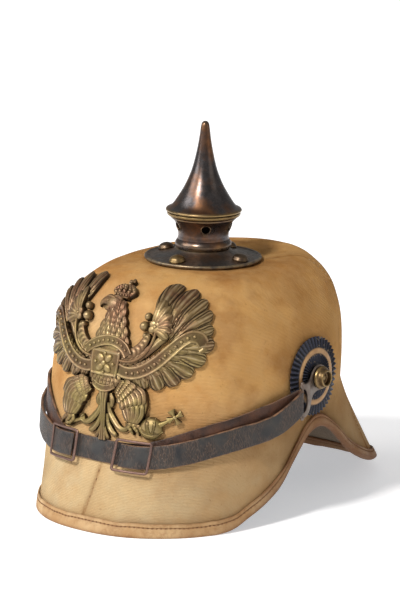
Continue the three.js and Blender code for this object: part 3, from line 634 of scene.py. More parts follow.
def strap_finish():
    """Black leather, cracked across, worn brown at its edges; its flesh side is red-brown."""
    f = Finish("cracked black leather", Specular_IOR_Level=0.36)
    tone = f.attribute("tone")
    cloud, grain = f.patches(70.0, 0.36, 0.66, 6.0), f.patches(1500.0, 0.3, 0.7, 3.0)
    inputs = {"Stretch": (1.0, 0.11, 1.0), "Scale": 2100.0, "Width": 0.16, "Reach Scale": 70.0}
    cracks = f.group(CRACKS, "Cracks", {"Flat": f.flat, **inputs})
    colour = f.over((0.013, 0.013, 0.015), (0.034, 0.032, 0.029), cloud)
    colour = f.over(colour, (0.13, 0.080, 0.055), cracks, 0.7)
    colour = f.over(colour, (0.22, 0.115, 0.062), f.rubbed(180.0, 0.3, 0.85, tone))
    flesh = f.over((0.022, 0.010, 0.007), (0.105, 0.042, 0.021), cloud)
    colour = f.over(colour, flesh, stretch(f.tree, tone, -0.15, -0.6))
    sunk = worked(f.tree, "SUBTRACT", 1.0, cracks)
    normal = f.bump(sunk, 0.0003, 0.8, f.bump(grain, 0.00012, 0.4))
    return f.done(colour, f.between(cloud, 0.42, 0.56), normal)


CLOTH, FELT, BINDING = cloth_finish(), felt_finish(), binding_finish()
THREAD = thread_finish("dark waxed thread", (0.20, 0.098, 0.040), (0.10, 0.045, 0.019))
SEAM_THREAD = thread_finish("pale seam thread", (0.55, 0.38, 0.20), (0.33, 0.20, 0.09))
BRONZE = metal_finish(
    "dark patinated bronze", 0.92, (52.0, 0.42, 0.60, 7.0), (260.0, 0.38, 0.66, 6.0), (160.0, 0.505, 0.56),
    ((0.086, 0.078, 0.080), (0.165, 0.078, 0.038), (0.034, 0.027, 0.024), (0.28, 0.195, 0.10)),
    0.5, 0.5, ("cloud", 0.27, 0.35), (0.00010, 0.22), rim=True,
)
PLATE_BRONZE = metal_finish(
    "grey-brown base plate metal", 0.85, (60.0, 0.35, 0.66, 7.0), (380.0, 0.35, 0.7), (200.0, 0.505, 0.56),
    ((0.085, 0.083, 0.082), (0.14, 0.080, 0.045), (0.040, 0.036, 0.034), (0.36, 0.27, 0.15)),
    0.65, 1.0, ("fine", 0.34, 0.5), (0.00015, 0.5),
)
DULL_BRASS = brass_finish("dulled brass", (0.13, 0.09, 0.052), (0.085, 0.055, 0.038), (0.04, 0.032, 0.028))
BRASS = brass_finish("aged brass", (0.27, 0.185, 0.075), (0.15, 0.095, 0.048), (0.06, 0.042, 0.028))
EAGLE_BRASS, COCKADE, STRAP_LEATHER = eagle_finish(), cockade_finish(), strap_finish()
LUG_STEEL = steel_finish(
    "dull brown-grey metal", (0.17, 0.145, 0.125), (0.115, 0.08, 0.065), (0.10, 0.06, 0.04), 0.5)
BUCKLE_STEEL = steel_finish(
    "brown rusted wire", (0.145, 0.092, 0.078), (0.08, 0.054, 0.048), (0.18, 0.085, 0.052), 0.55)


def finished(piece, material, nodes):
    if not piece.data.materials:
        piece.data.materials.append(material)
    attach(piece, "root")
    if nodes:
        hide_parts(*nodes)
    return piece


# ---------------------------------------------------------------- cloth-covered felt shell
PLEATS = [  # turn, height, width, length outward: folds of the cloth under the base plate
    (-0.045, 1.25, 0.020, 22), (0.015, 0.7, 0.022, 13), (0.075, 0.6, 0.025, 15), (0.15, 0.8, 0.022, 20),
    (0.225, 0.55, 0.028, 13), (0.30, 0.75, 0.022, 18), (0.37, 0.6, 0.026, 15), (0.455, 0.85, 0.022, 22),
    (0.53, 0.7, 0.024, 16), (0.61, 0.6, 0.026, 14), (0.69, 0.85, 0.022, 20), (0.765, 0.6, 0.026, 13),
    (0.83, 0.75, 0.022, 18), (0.895, 0.95, 0.020, 20),
]
PLATE_EDGE = 38.0
PEAK_SEAM_TOP, PEAK_SEAM_LEAN = 46.0, 5.0
SEAM_TURNS = (0.36, 0.64)  # the cover is sewn from panels
SHELL_TURNS, PEAK_ROWS = 320, 44
CROWN_STEPS = ((8, 10), (7, 22), (6, 9), (5, 6), (4, 6), (3, 6), (2, 7), (1, 7))  # table row, skin rows
SIDE_MID = helmet_point(SIDE_TURN, SIDE_Z)


def crowded_turns():
    """Turns round the shell, closer together at its seams."""
    fine = np.linspace(0, 1, 4001)
    crowd = np.cumsum(1 + 2.0 * sum(bell(fine - seam, 0.012) for seam in (0, 1, *SEAM_TURNS)))
    share = (crowd - crowd[0]) / (crowd[-1] - crowd[0])
    return np.interp(np.arange(SHELL_TURNS) / SHELL_TURNS, share, fine)


def off_peak_seam(points):
    """How far points lie to the left of the peak's front seam."""
    return points[..., 0] - PEAK_SEAM_LEAN * (points[..., 2] - 8) / 32


def shell_stains_and_painted_light(points, radius):
    """How dark the cloth is from stains and dirt, with painted shade and shadow, below 0 where painted light
    lightens it.
    """
    x, y, z = np.moveaxis(points, -1, 0)
    above_rim = np.linalg.norm(points - points[-1:], axis=2)
    ahead, top, low = y < 0, z > 120, ramp(z, 85, 65)
    tone = 0.40 * np.exp(-np.maximum(above_rim - LEG, 0) / 3.2)  # along the binding
    tone += 0.35 * np.exp(-np.maximum(radius - PLATE_EDGE - 0.5, 0) / 2.2) * (z > 140)  # painted shade round the plate's foot
    above_ears = bell(np.hypot(y - SIDE_MID[1] + 12, z - SIDE_MID[2] - 18), 46.0)
    tone += 0.48 * above_ears * (0.8 + bumps(points, 22, 17))
    tone += 0.16 * np.clip(bumps(points, 60, 12) - 0.1, 0, 1) * (z > 60)  # broad stains
    tone += 0.24 * bell(z - 76, 17) * np.clip(bumps(points, 24, 19) + 0.25, 0, 1) * ahead  # above the peak
    tone += 0.42 * bell(np.hypot(x - 8, y - 56), 19.0) * top  # painted shadow of the spike: a brown patch behind it
    tone += 0.3 * low * np.clip(bumps(points, 17, 23) - 0.05, 0, 1)
    tone += low * (0.16 * ramp(y, -10, 40) + 0.2 * ramp(np.abs(x), 25, 70))
    # painted light: a lighter patch high on the front of the crown, on the wearer's right
    painted_light_patch = bell(x + 14, 52) * bell(z - 122, 32) * ahead
    return tone - 0.36 * painted_light_patch * (0.8 + 0.5 * bumps(points, 20, 29))


def shell_skin():
    """The cloth's surface with its folds and seams, its flat measures, its turns and its tone of wear,
    painted shade and painted light.
    """
    turns = crowded_turns()
    crown = np.array([start - k / steps for start, steps in CROWN_STEPS for k in range(steps)])
    peaks = np.linspace(1, 0.0, PEAK_ROWS)
    points = np.concatenate([crown_point(turns, crown[:, None]), peak_point(turns, peaks[:, None])])
    around = np.roll(points, -1, 1) - np.roll(points, 1, 1)
    normals = unit(np.cross(np.gradient(points, axis=0), around))
    y, z = points[..., 1], points[..., 2]
    radius = np.hypot(points[..., 0], y)
    out = 0.42 * bumps(points, 42, 1) + 0.10 * bumps(points, 13, 2)
    for turn, high, wide, reach in PLEATS:
        away = (turns[None] - turn + 0.5 + 0.012 * np.sin(radius / 7 + turn * 40)) % 1 - 0.5
        fold = bell(away, wide * 0.55) - 0.6 * bell(away - wide, wide * 0.6)
        near = np.exp(-np.maximum(radius - PLATE_EDGE, 0) / reach) * ramp(radius, 36, 41)
        out += 0.55 * high * fold * near * (z > 120)
    tone = shell_stains_and_painted_light(points, radius)
    away = off_peak_seam(points) + 0.5 * bumps(points, 9, 5)
    fade = ramp(z, PEAK_SEAM_TOP, PEAK_SEAM_TOP - 6) * (y < 0)
    out += fade * (0.55 * bell(away + 1.6, 2.6) - 0.9 * bell(away, 1.1))
    tone += fade * (0.75 * bell(away, 1.2) * (0.6 + 0.4 * bumps(points, 5, 6)) + 0.12 * bell(away - 2, 4.0))
    for seam in SEAM_TURNS:
        away = np.linalg.norm(points - points[:, [np.argmin(np.abs(turns - seam))]], axis=2)
        fade = ramp(radius, 40, 50)
        out += fade * (0.45 * bell(away, 4.0) - 0.8 * bell(away, 1.1))
        tone += fade * (0.5 * bell(away, 1.3) + 0.12 * bell(away, 7))
    out -= 0.35 * bell(z - 78, 9) * (y < -20)
    out *= np.concatenate([np.ones(len(crown)), np.clip(peaks * 8, 0, 1)])[:, None]
    points = points + normals * out[..., None]
    u = arc_lengths(points[len(crown)])
    u = np.append(u, u[-1] * (1 + 1 / (len(u) - 1)))
    v = np.concatenate([[0], np.cumsum(np.linalg.norm(np.diff(points, axis=0), axis=2).mean(1))])
    return points, np.stack(np.meshgrid(u, v), -1) * MM, turns, np.clip(tone, -1, 1)


skin, skin_flat, skin_turns, skin_tone = shell_skin()
shell = loft("cloth_shell", skin, round_ring=True, uv=skin_flat, tone=skin_tone)
shell.data.materials.append(CLOTH)
shell.data.materials.append(FELT)
apply_modifier(
    shell, "SOLIDIFY", thickness=WALL * MM, offset=-1, use_even_offset=False, material_offset=1,
    material_offset_rim=1,
)
finished(shell, CLOTH, ["crown", "front_peak", "neck_guard"])


# ---------------------------------------------------------------- stitches
def stitch_model(length, width, high):
    """One stitch: a short thread, fat in its middle and sunk at its ends. Local axes in millimetres."""
    pick()
    bpy.ops.mesh.primitive_uv_sphere_add(segments=8, ring_count=6, radius=1)
    model = bpy.context.object
    turn = {"value": math.pi / 2, "orient_axis": "Y", "center_override": (0, 0, 0)}
    edit(model, (bpy.ops.transform.rotate, turn))
    x, y, z = points_of(model).T
    along = np.copysign(np.abs(x) ** 0.75, x) * length / 2
    set_points(model, np.stack([along, y * width / 2, z * high / 2 - 0.28 * high * x * x], 1))
    return model


def frames_along(points, outs, pitch, lift, turn_in=0.0):
    """Origins and axes of stitches spaced evenly along a line of points with outward normals."""
    steps = arc_lengths(points)
    count = int(steps[-1] // pitch)
    at = (np.arange(count) + 0.5) * steps[-1] / count

    def sampled(table, where):
        return np.stack([np.interp(where, steps, column) for column in table.T], 1)

    out = unit(sampled(outs, at))
    across = unit(np.cross(out, sampled(points, at + 0.6) - sampled(points, at - 0.6)))
    sway = turn_in + 0.05 * np.sin(np.arange(count) * 2.3)
    along = unit(unit(np.cross(across, out)) + across * sway[:, None])
    return sampled(points, at) + out * lift, np.stack([along, np.cross(out, along), out], 1)


def line_on_skin(signed, chosen):
    """Where a signed number changes its sign along each row of the skin, with the normals there."""
    points, outs = [], []
    for row in range(len(skin)):
        for k in np.nonzero((signed[row, :-1] * signed[row, 1:] <= 0) & chosen[row, :-1])[0][:1]:
            f = signed[row, k] / (signed[row, k] - signed[row, k + 1] + 1e-9)
            points.append(skin[row, k] * (1 - f) + skin[row, k + 1] * f)
            outs.append(skin_normals[row, k])
    return np.array(points), np.array(outs)


def heights_between(low, high):
    return (skin[..., 2] > low) & (skin[..., 2] < high)


SEAM_PITCH, SEAM_LIFT, SEAM_LEAN, PEAK_PITCH = 3.6, 0.22, 0.9, 5.2
skin_normals = unit(np.cross(np.gradient(skin, axis=0), np.roll(skin, -1, 1) - np.roll(skin, 1, 1)))
seam_frames = []
for seam in SEAM_TURNS:
    line = line_on_skin(skin_turns[None] - seam + 0 * skin[..., 2], heights_between(34, 157))
    seam_frames.append(frames_along(*line, SEAM_PITCH, SEAM_LIFT, SEAM_LEAN))
seam = repeated("seam_stitches", stitch_model(3.0, 0.75, 0.95), seam_frames)
finished(seam, SEAM_THREAD, [])
line = line_on_skin(off_peak_seam(skin), (skin[..., 1] < 0) & heights_between(17, 41))
peak_frames = [frames_along(*line, PEAK_PITCH, 0.0)]
peak_seam = repeated("peak_seam_stitches", stitch_model(1.9, 0.7, 0.6), peak_frames)
finished(peak_seam, THREAD, [])

# ---------------------------------------------------------------- rim binding
STITCH_DOWN, STITCH_PITCH, RIM_PLACES = -5.3, 2.9, 420
OUTER_FACE, INNER_FACE = SLACK + LEATHER, -WALL - SLACK - LEATHER
OUTER_LEG = [  # how proud of the leather's outer face, how far below the wall's rim, how worn
    (-0.95, -8.0, 0.3), (-0.275, -7.9, 0.4), (0.0, -7.45, 0.2), (0.0, -6.3, 0.0), (-0.1, -5.8, 0.15),
    (-0.42, STITCH_DOWN, 0.9), (-0.1, -4.8, 0.15), (0.05, -4.2, 0.0), (0.1, -2.4, 0.0), (0.0, -0.6, 0.15),
]
INNER_LEG = [  # the same off its inner face
    (0.0, -0.6, 0.2), (-0.1, -2.4, 0.1), (0.0, -4.8, 0.1), (0.35, STITCH_DOWN, 0.9), (0.0, -5.8, 0.2),
    (0.0, -7.5, 0.3), (0.44, -8.0, 0.4), (1.1, -8.0, 0.5),
]


def binding_section():
    """Outline of the folded leather: how far out of the wall, how far below its rim, and how worn."""
    outer = [(OUTER_FACE + proud, down, worn) for proud, down, worn in OUTER_LEG]
    middle = -WALL / 2
    fold = []
    for t in np.linspace(0.25, math.pi - 0.25, 9):
        across = middle + (OUTER_FACE - middle) * math.cos(t)
        fold.append((across, 0.3 + (UNDER + 0.2) * math.sin(t), 0.35 + 0.4 * math.sin(t)))
    inner = [(INNER_FACE + proud, down, worn) for proud, down, worn in INNER_LEG]
    deep = -WALL - SLACK
    back = [(deep, -2.0, 1.0), (deep * 0.9, 0.2, 1.0), (SLACK * 0.5, 0.2, 1.0), (SLACK, -2.0, 1.0)]
    return np.array(outer + fold + inner + back)


def rim_frames(count):
    """Points round the wall's rim with the ways down and out of it."""
    turns = np.arange(count) / count
    turns = turns - 0.25 / (4 * np.pi) * np.sin(4 * np.pi * turns)
    rim = peak_point(turns, 0 * turns)
    down = unit(rim - peak_point(turns, LEG / (WAIST_Z - rim[:, 2])))
    return rim, down, unit(np.cross(down, np.roll(rim, -1, 0) - np.roll(rim, 1, 0)))


rim, rim_down, rim_out = rim_frames(RIM_PLACES)
rim_wander = 1.6 * (0.34 * bumps(rim, 18, 3) + 0.14 * bumps(rim, 6, 4))


def rim_binding():
    """The folded leather; its edge wanders, and it is darker behind the front peak."""
    push, drop, worn = (column[None] for column in binding_section().T)
    push = push + (push > 0) * 0.10 * bumps(rim, 7, 9)[:, None]
    drop = drop + (drop < -4) * rim_wander[:, None]
    points = rim[:, None] + rim_out[:, None] * push[..., None] + rim_down[:, None] * drop[..., None]
    points[..., 2] = np.maximum(points[..., 2], 0)
    tone = worn + 0.22 * bumps(points, 15, 5) + 0.74 * ramp(points[..., 1], -72, -17)
    piece = loft("rim_binding", points, round_ring=True, round_run=True, tone=tone, soft=60)
    finished(piece, BINDING, ["edge_binding"])


def rim_stitches():
    """Stitches in the groove outside and inside, leaning opposite ways."""
    frames = []
    for side, way, turn_in in ((OUTER_FACE - 0.24, 1, 0.10), (INNER_FACE + 0.22, -1, -0.10)):
        line = rim + rim_out * side + rim_down * (STITCH_DOWN + rim_wander[:, None])
        line, outs = (np.concatenate([rows, rows[:1]]) for rows in (line, rim_out * way))
        frames.append(frames_along(line, outs, STITCH_PITCH, 0.06, turn_in))
    piece = repeated("rim_stitches", stitch_model(STITCH_PITCH * 0.56, 0.95, 0.75), frames)
    finished(piece, THREAD, [])


rim_binding()
rim_stitches()

# ---------------------------------------------------------------- spike, neck and base plate
BASE_PROFILE = [  # radius and height
    (14.8, 165.6), (14.8, 164.4), (22.0, 162.0), (30.0, 160.2), (36.4, 159.2), (37.6, 158.9), (38.4, 159.4),
    (38.6, 160.4), (38.2, 161.2), (37.3, 161.4), (36.5, 160.9), (35.4, 160.6), (30.0, 161.4), (24.0, 162.7),
    (20.6, 163.7), (18.6, 164.9), (17.6, 166.15), (16.4, 166.3),
]
NECK_PROFILE = [
    (15.4, 166.35), (17.2, 166.35), (18.2, 167.1), (18.65, 168.6), (18.35, 170.3), (17.45, 171.6),
    (16.75, 172.3), (16.9, 172.9), (16.5, 174.0), (16.6, 176.2), (17.1, 178.8), (18.0, 181.6),
    (19.2, 184.0), (20.6, 185.6), (21.5, 186.3), (21.5, 186.9), (19.8, 186.9), (17.9, 183.9),
    (16.2, 180.2), (15.3, 176.0), (15.2, 170.0),
]
BAND_PROFILE = [
    (18.6, 187.15), (21.6, 187.15), (22.6, 187.5), (23.9, 188.3), (24.15, 189.2), (23.9, 190.1),
    (18.6, 190.1),
]
SPIKE_PROFILE = [
    (0.001, 190.3), (22.4, 190.3), (24.0, 190.5), (24.75, 191.0), (24.9, 191.7), (24.5, 192.4),
    (23.6, 192.95), (22.5, 193.35), (21.3, 194.1), (20.3, 195.2), (19.2, 196.7), (17.7, 199.0),
    (15.5, 202.5), (13.3, 206.3), (11.55, 209.8), (10.0, 213.5), (8.65, 217.1), (7.5, 221.0),
    (6.5, 225.0), (5.6, 229.0), (4.8, 233.0), (4.1, 237.0), (3.55, 240.8), (3.1, 244.5), (2.8, 246.6),
    (2.4, 248.3), (1.7, 249.4), (0.9, 249.85), (0.001, 250.0),
]
STUD_RING, STUD_RADIUS, STUD_HIGH, STUD_Z, STUD_TILT, STUD_TURNED = 29.5, 5.4, 3.7, 162.15, 0.17, 4.5
HOLE_RADIUS, HOLE_Z, HOLE_TURNED, HOLES, DRILL_AT, DRILL_LENGTH = 2.9, 181.0, 44, 5, 18.0, 12.0
EYELET_RADIUS, EYELET_WIRE, EYELET_LEAN, EYELET_AT = 3.1, 0.42, 0.30, 17.75


def dome_stud(side, quarter):
    """A domed head, slightly dented, leaning with the plate's slope."""
    profile = [(0, -0.5), (STUD_RADIUS * 0.96, -0.5), (STUD_RADIUS, 0.0), (STUD_RADIUS * 0.985, 0.55)]
    for t in np.linspace(0.08, math.pi / 2, 9):
        profile.append((STUD_RADIUS * 0.93 * math.cos(t), 0.6 + (STUD_HIGH - 0.6) * math.sin(t)))
    stud = turned(f"{side}_dome_stud", profile, 40, 40)
    points = points_of(stud) / MM
    points[:, 2] += 0.10 * bumps(points, 4.5, 11 + quarter) * (points[:, 2] > 1)
    lean, spin = (
        np.array(Matrix.Rotation(angle, 3, axis))
        for angle, axis in ((STUD_TILT, "X"), (quarter * math.pi / 2 + math.radians(STUD_TURNED), "Z"))
    )
    points = points @ lean.T + [0, -STUD_RING, STUD_Z]
    set_points(stud, place(points @ spin.T))
    finished(stud, BRASS if side == "front" else DULL_BRASS, [f"plate_stud_{side}"])


def pierced_neck():
    """The flared neck with its air holes, each in a raised eyelet."""
    neck = turned("vented_spike_neck", NECK_PROFILE, 120)
    eyelets = []
    for k in range(HOLES):
        angle = math.radians(HOLE_TURNED + k * 360 / HOLES)
        way, up = Vector((math.sin(angle), -math.cos(angle), 0)), Vector((0, 0, HOLE_Z))
        pick()
        bpy.ops.mesh.primitive_cylinder_add(
            vertices=32, radius=HOLE_RADIUS * MM, depth=DRILL_LENGTH * MM,
            location=(DRILL_AT * way + up) * MM, rotation=(math.pi / 2, 0, angle),
        )
        drill = bpy.context.object
        apply_modifier(neck, "BOOLEAN", object=drill, operation="DIFFERENCE", solver="EXACT")
        bpy.data.objects.remove(drill, do_unlink=True)
        pick()
        bpy.ops.mesh.primitive_torus_add(
            major_radius=EYELET_RADIUS * MM, minor_radius=EYELET_WIRE * MM, major_segments=36,
            minor_segments=10, location=(EYELET_AT * way + up) * MM,
            rotation=(math.pi / 2 + EYELET_LEAN, 0, angle),
        )
        bpy.ops.object.transform_apply(location=True, rotation=True, scale=True)
        eyelets.append(bpy.context.object)
    neck = to_axis(joined("vented_spike_neck", [neck] + eyelets))
    shade(neck, 35)
    finished(neck, BRONZE, ["spike_neck"])


def tall_spike():
    """The spike, very slightly uneven as it was spun by hand."""
    spike = turned("tall_spike", SPIKE_PROFILE, 112)
    points = points_of(spike) / MM
    radius = np.hypot(points[:, 0], points[:, 1])[:, None]
    points[:, :2] *= 1 + 0.006 * bumps(points, 14, 12)[:, None] * (radius > 3)
    set_points(spike, place(points))
    finished(spike, BRONZE, ["spike"])


base = to_axis(turned("studded_base_plate", rounded(BASE_PROFILE), 112))
finished(base, PLATE_BRONZE, ["base_plate"])
for quarter, side in enumerate(("front", "left", "rear", "right")):
    dome_stud(side, quarter)
pierced_neck()
band = to_axis(turned("spike_foot_band", rounded(BAND_PROFILE), 96))
finished(band, BRASS, ["spike_band"])
tall_spike()

# ---------------------------------------------------------------- eagle helmet plate
LOW = 0.7  # how far the relief's foot stands off the cloth
relief = []


def spine_points(spine, rows):
    """A smooth line through flat points, evenly spaced, with its sideways directions and its length."""
    spine = np.array(spine, float)
    fine = np.linspace(0, len(spine) - 1, 240)
    if len(spine) > 2:
        line = np.stack([smooth(column, fine) for column in spine.T], 1)
    else:
        line = spine[0] + (spine[1] - spine[0]) * fine[:, None]
    steps = arc_lengths(line)
    at = np.linspace(0, steps[-1], rows)
    points = np.stack([np.interp(at, steps, column) for column in line.T], 1)
    tangent = unit(np.gradient(points, axis=0))
    return points, np.stack([-tangent[:, 1], tangent[:, 0]], 1), steps[-1]


def over(values, t):
    """A short table stretched over 0 to 1; one number counts as a table."""
    values = np.atleast_1d(values)
    return smooth(values, t * (len(values) - 1)) if len(values) > 1 else np.full_like(t, values[0])


# Sections of a strip: each gives its rise and its engraving at s, -1 to 1 across, and t, 0 to 1 along.
def dome(s, t, length):
    return 1 - 0.45 * np.abs(s) ** 2.4, 0 * s


def feather(s, t, length):
    """A flight feather: a shaft down its middle and long barbs running out to its edges."""
    away = np.abs(s)
    shaft = 0.45 * bell(s, 0.13) - 0.20 * bell(away - 0.27, 0.1)
    barbs = 0.40 * np.sin(2 * np.pi * (away * 2.5 - t * length / 11 + 0.15 * np.sin(t * 9)))
    barbs = barbs * np.clip(away * 4 - 0.9, 0, 1) * np.clip((1 - away) * 7, 0, 1)
    return 0.84 + 0.16 * np.cos(s * np.pi) - 0.35 * away**6, shaft + barbs


def covert(s, t, length):
    """A short covering feather with two soft grooves."""
    return 1 - 0.4 * np.abs(s) ** 2.6, 0.28 * bell(s, 0.16) - 0.22 * bell(np.abs(s) - 0.45, 0.14)


def bordered(s, t, length):
    """A ribbon: flat between two raised borders."""
    return 0.86 + 0 * s, 0.34 * bell(np.abs(s) - 0.84, 0.12) - 0.16 * (np.abs(s) < 0.70)


def ridged(s, t, length):
    """A stem with lengthwise ridges."""
    return 1 - 0.35 * np.abs(s) ** 2.4, 0.30 * np.cos(s * np.pi * 3)


def draped(s, t, length):
    """Long soft folds."""
    return 1 - 0.35 * np.abs(s) ** 2.6, 0.22 * np.sin(2 * np.pi * (s * 2.4 + 0.12 * np.sin(t * 7)))


def scalloped(s, t, length):
    """A row of small overlapping scales."""
    scales = 0.30 * np.sin(2 * np.pi * (t * length / 3.2 + 0.35 * s * s))
    return 1 - 0.3 * np.abs(s) ** 2.4, scales * np.clip(1.1 - np.abs(s), 0, 1)


def beaded(s, t, length):
    """An arch set with small pearls."""
    return 1 - 0.4 * np.abs(s) ** 2.2, 0.28 * np.sin(2 * np.pi * t * length / 1.9) * bell(s, 0.5)


def ringed(s, t, length):
    """A bird's toe with rings of scales."""
    return 1 - 0.4 * np.abs(s) ** 2.2, 0.1 * np.sin(2 * np.pi * t * length / 2.2)


def framed(s, t, length):
    """A shield with a raised frame."""
    ends = (bell(t - 0.05, 0.03) + bell(t - 0.9, 0.03)) * (np.abs(s) < 0.9)
    return 1 - 0.2 * s * s, 0.5 * (bell(np.abs(s) - 0.91, 0.06) + ends) - 0.12


def strip(
    spine, widths, base, heights, rows, across, section=dome, round_tip=True, round_root=False, tilt=0.0,
    flip=1, edge_tone=0.25,
):
    """One raised strip of the relief. Base and heights are standings off the cloth along it."""
    points, side, length = spine_points(spine, rows)
    t = np.linspace(0, 1, rows)
    half = over(widths, t)
    shrink = np.ones(rows)
    for wanted, gone in ((round_tip, 1 - t), (round_root, t)):
        if wanted:
            end = half.max() if wanted is True else wanted
            inside = 1 - np.clip(gone * length / end, 0, 1)
            shrink *= np.sqrt(np.clip(1 - inside**2, 0.012, 1))
    s = np.sin(np.linspace(-1, 1, across + 1) * np.pi / 2 * 0.92)
    s, tt = np.meshgrid(s / s[-1], t)
    rise, extra = section(s, tt, length)
    soft = 0.45 + 0.55 * shrink[:, None]
    out = over(base, t)[:, None] + (over(heights, t)[:, None] * rise + extra + tilt * s) * soft
    # tone is high on crests, where it gives rubbed brass and a painted highlight, and low in hollows and at
    # the foot
    tone = 0.55 + 1.1 * extra + 0.25 * (rise - 0.8) - edge_tone * np.abs(s) ** 8
    wide = np.pad(s, ((0, 0), (1, 1)), mode="edge") * (half * shrink)[:, None]
    out = np.pad(np.maximum(out, LOW + 0.1), ((0, 0), (1, 1)), constant_values=LOW)
    tone = np.pad(tone, ((0, 0), (1, 1)))
    flat = points[:, None] + side[:, None] * wide[..., None]
    ring = on_front(flip * flat[..., 0], flat[..., 1], out)
    relief.append(loft("relief", ring, round_ring=True, capped=True, tone=tone, soft=None))


def boss(a, b, radius_a, radius_b, base, high, rings, sides, lean=0.0, flip=1, low=LOW):
    """One raised dome of the relief."""
    around = np.arange(sides) / sides * 2 * math.pi
    around, up = np.meshgrid(around, np.linspace(0, math.pi / 2 * 0.97, rings))
    around, up = (np.concatenate([rows[:1], rows]) for rows in (around, up))
    x, y = radius_a * np.cos(up) * np.cos(around), radius_b * np.cos(up) * np.sin(around)
    # tone is high on the dome's top, where it gives rubbed brass and a painted highlight
    out, tone = base + high * np.sin(up), 0.35 + 0.45 * np.sin(up)
    out[0], tone[0] = low, 0
    a = a + x * math.cos(lean) - y * math.sin(lean)
    b = b + x * math.sin(lean) + y * math.cos(lean)
    ring = on_front(flip * a, b, out)
    relief.append(loft("relief", ring, round_ring=True, capped=True, tone=tone, soft=None))


def ray(root, degrees, *lengths):
    """Flat points from a root on, all in one direction."""
    along = np.array([math.cos(math.radians(degrees)), math.sin(math.radians(degrees))])
    return [np.array(root) + along * length for length in (0, *lengths)]


def four_round(a, b, reach_a, reach_b, first):
    """Four flat places round a middle, with their directions."""
    for k in range(4):
        angle = math.radians(first + 90 * k)
        yield a + reach_a * math.cos(angle), b + reach_b * math.sin(angle), angle


FLIGHT = [  # root, bend and tip of each flight feather, and half width near its tip
    ((37, 72), (31.0, 90.0), (30.4, 107.6), 5.9), ((39, 71), (40.5, 85.5), (45.0, 101.4), 6.3),
    ((41, 70), (47.5, 82.0), (56.6, 93.0), 5.6), ((43, 68.5), (51.0, 77.0), (63.6, 84.8), 4.7),
    ((44, 66.5), (54.0, 71.5), (66.6, 76.4), 4.6), ((44, 64), (55.0, 65.5), (69.2, 67.4), 4.9),
    ((42, 60), (53.0, 60.0), (65.6, 57.0), 5.2), ((38, 56.5), (48.0, 54.0), (58.8, 48.6), 5.4),
    ((33.5, 54), (42.5, 49.6), (49.8, 41.6), 5.4), ((28, 52), (35.0, 46.4), (39.8, 38.0), 5.4),
    ((22, 50.5), (27.0, 44.6), (29.6, 37.4), 5.2), ((15.5, 50), (18.4, 44.4), (20.2, 38.8), 4.4),
]
FLIGHT_ORDER = (11, 10, 9, 8, 7, 6, 5, 4, 0, 1, 2, 3)  # from the lowest layer up
FAN = [  # tip and half width of each short feather of the wing's upper fan
    (30.9, 92.6, 2.6), (35.9, 88.8, 2.8), (39.2, 84.0, 2.8), (40.9, 78.9, 2.6), (41.2, 74.0, 2.4),
    (40.0, 69.8, 2.2),
]
FAN_ROOT = (30.0, 75.5)
COVERTS = 9
WING_ARM = [(7.0, 60.0), (12.5, 58.2), (18.0, 58.6), (22.6, 62.0), (25.6, 66.8), (27.2, 72.5)]
STALK = [(8.5, 53.2), (15.0, 53.0), (21.5, 54.8), (27.0, 59.2), (30.4, 65.2), (31.6, 71.5), (30.8, 76.0)]
RIBBON = [
    (9.0, 47.8), (15.0, 46.2), (22.0, 46.6), (29.5, 49.8), (36.5, 55.2), (43.0, 62.2), (48.8, 68.6),
    (54.0, 71.9), (59.0, 71.2), (62.2, 67.6),
]
ROSETTE = (30.8, 76.6)


def wing_feathers(flip):
    """Flight feathers, two rows of coverts and the upper fan."""
    for k in FLIGHT_ORDER:
        root, bend, tip, wide = FLIGHT[k]
        strip(
            [root, bend, tip], [2.8, 4.0, wide, wide * 0.94], 1.5 + 0.25 * (k % 2), [1.5, 1.9, 1.7],
            56 if k < 9 else 36, 20, feather, wide * 0.8, tilt=0.7 if k < 6 else -0.7, flip=flip,
        )
    for f in np.linspace(0, 1, COVERTS):  # below the ribbon, fanning out
        spine = ray((20 + 24 * f, 51.5 + 17.0 * f - 2 * math.sin(f * 3)), -66 + 64 * f, 6.0, 13)
        strip(spine, [2.2, 3.0, 2.7], 2.4, [1.6, 1.8, 1.3], 24, 10, covert, tilt=-0.4, flip=flip)
    for f in np.linspace(0, 1, COVERTS):  # above the ribbon
        spine = ray((10 + 26 * f, 49.5 + 18 * f * f + 3 * f), 66 - 26 * f, 4, 9.0)
        strip(spine, [2.3, 2.5, 2.1], 2.4, [1.6, 1.7, 1.2], 18, 8, covert, tilt=0.35, flip=flip)
    for a, b, wide in FAN:
        middle = ((FAN_ROOT[0] + a) / 2 + 0.4, (FAN_ROOT[1] + b) / 2)
        widths = [1.5, wide, wide * 1.22, wide * 1.05]
        strip([FAN_ROOT, middle, (a, b)], widths, 3.5, [1.3, 2.4, 2.0], 34, 14, covert, tilt=0.8, flip=flip)


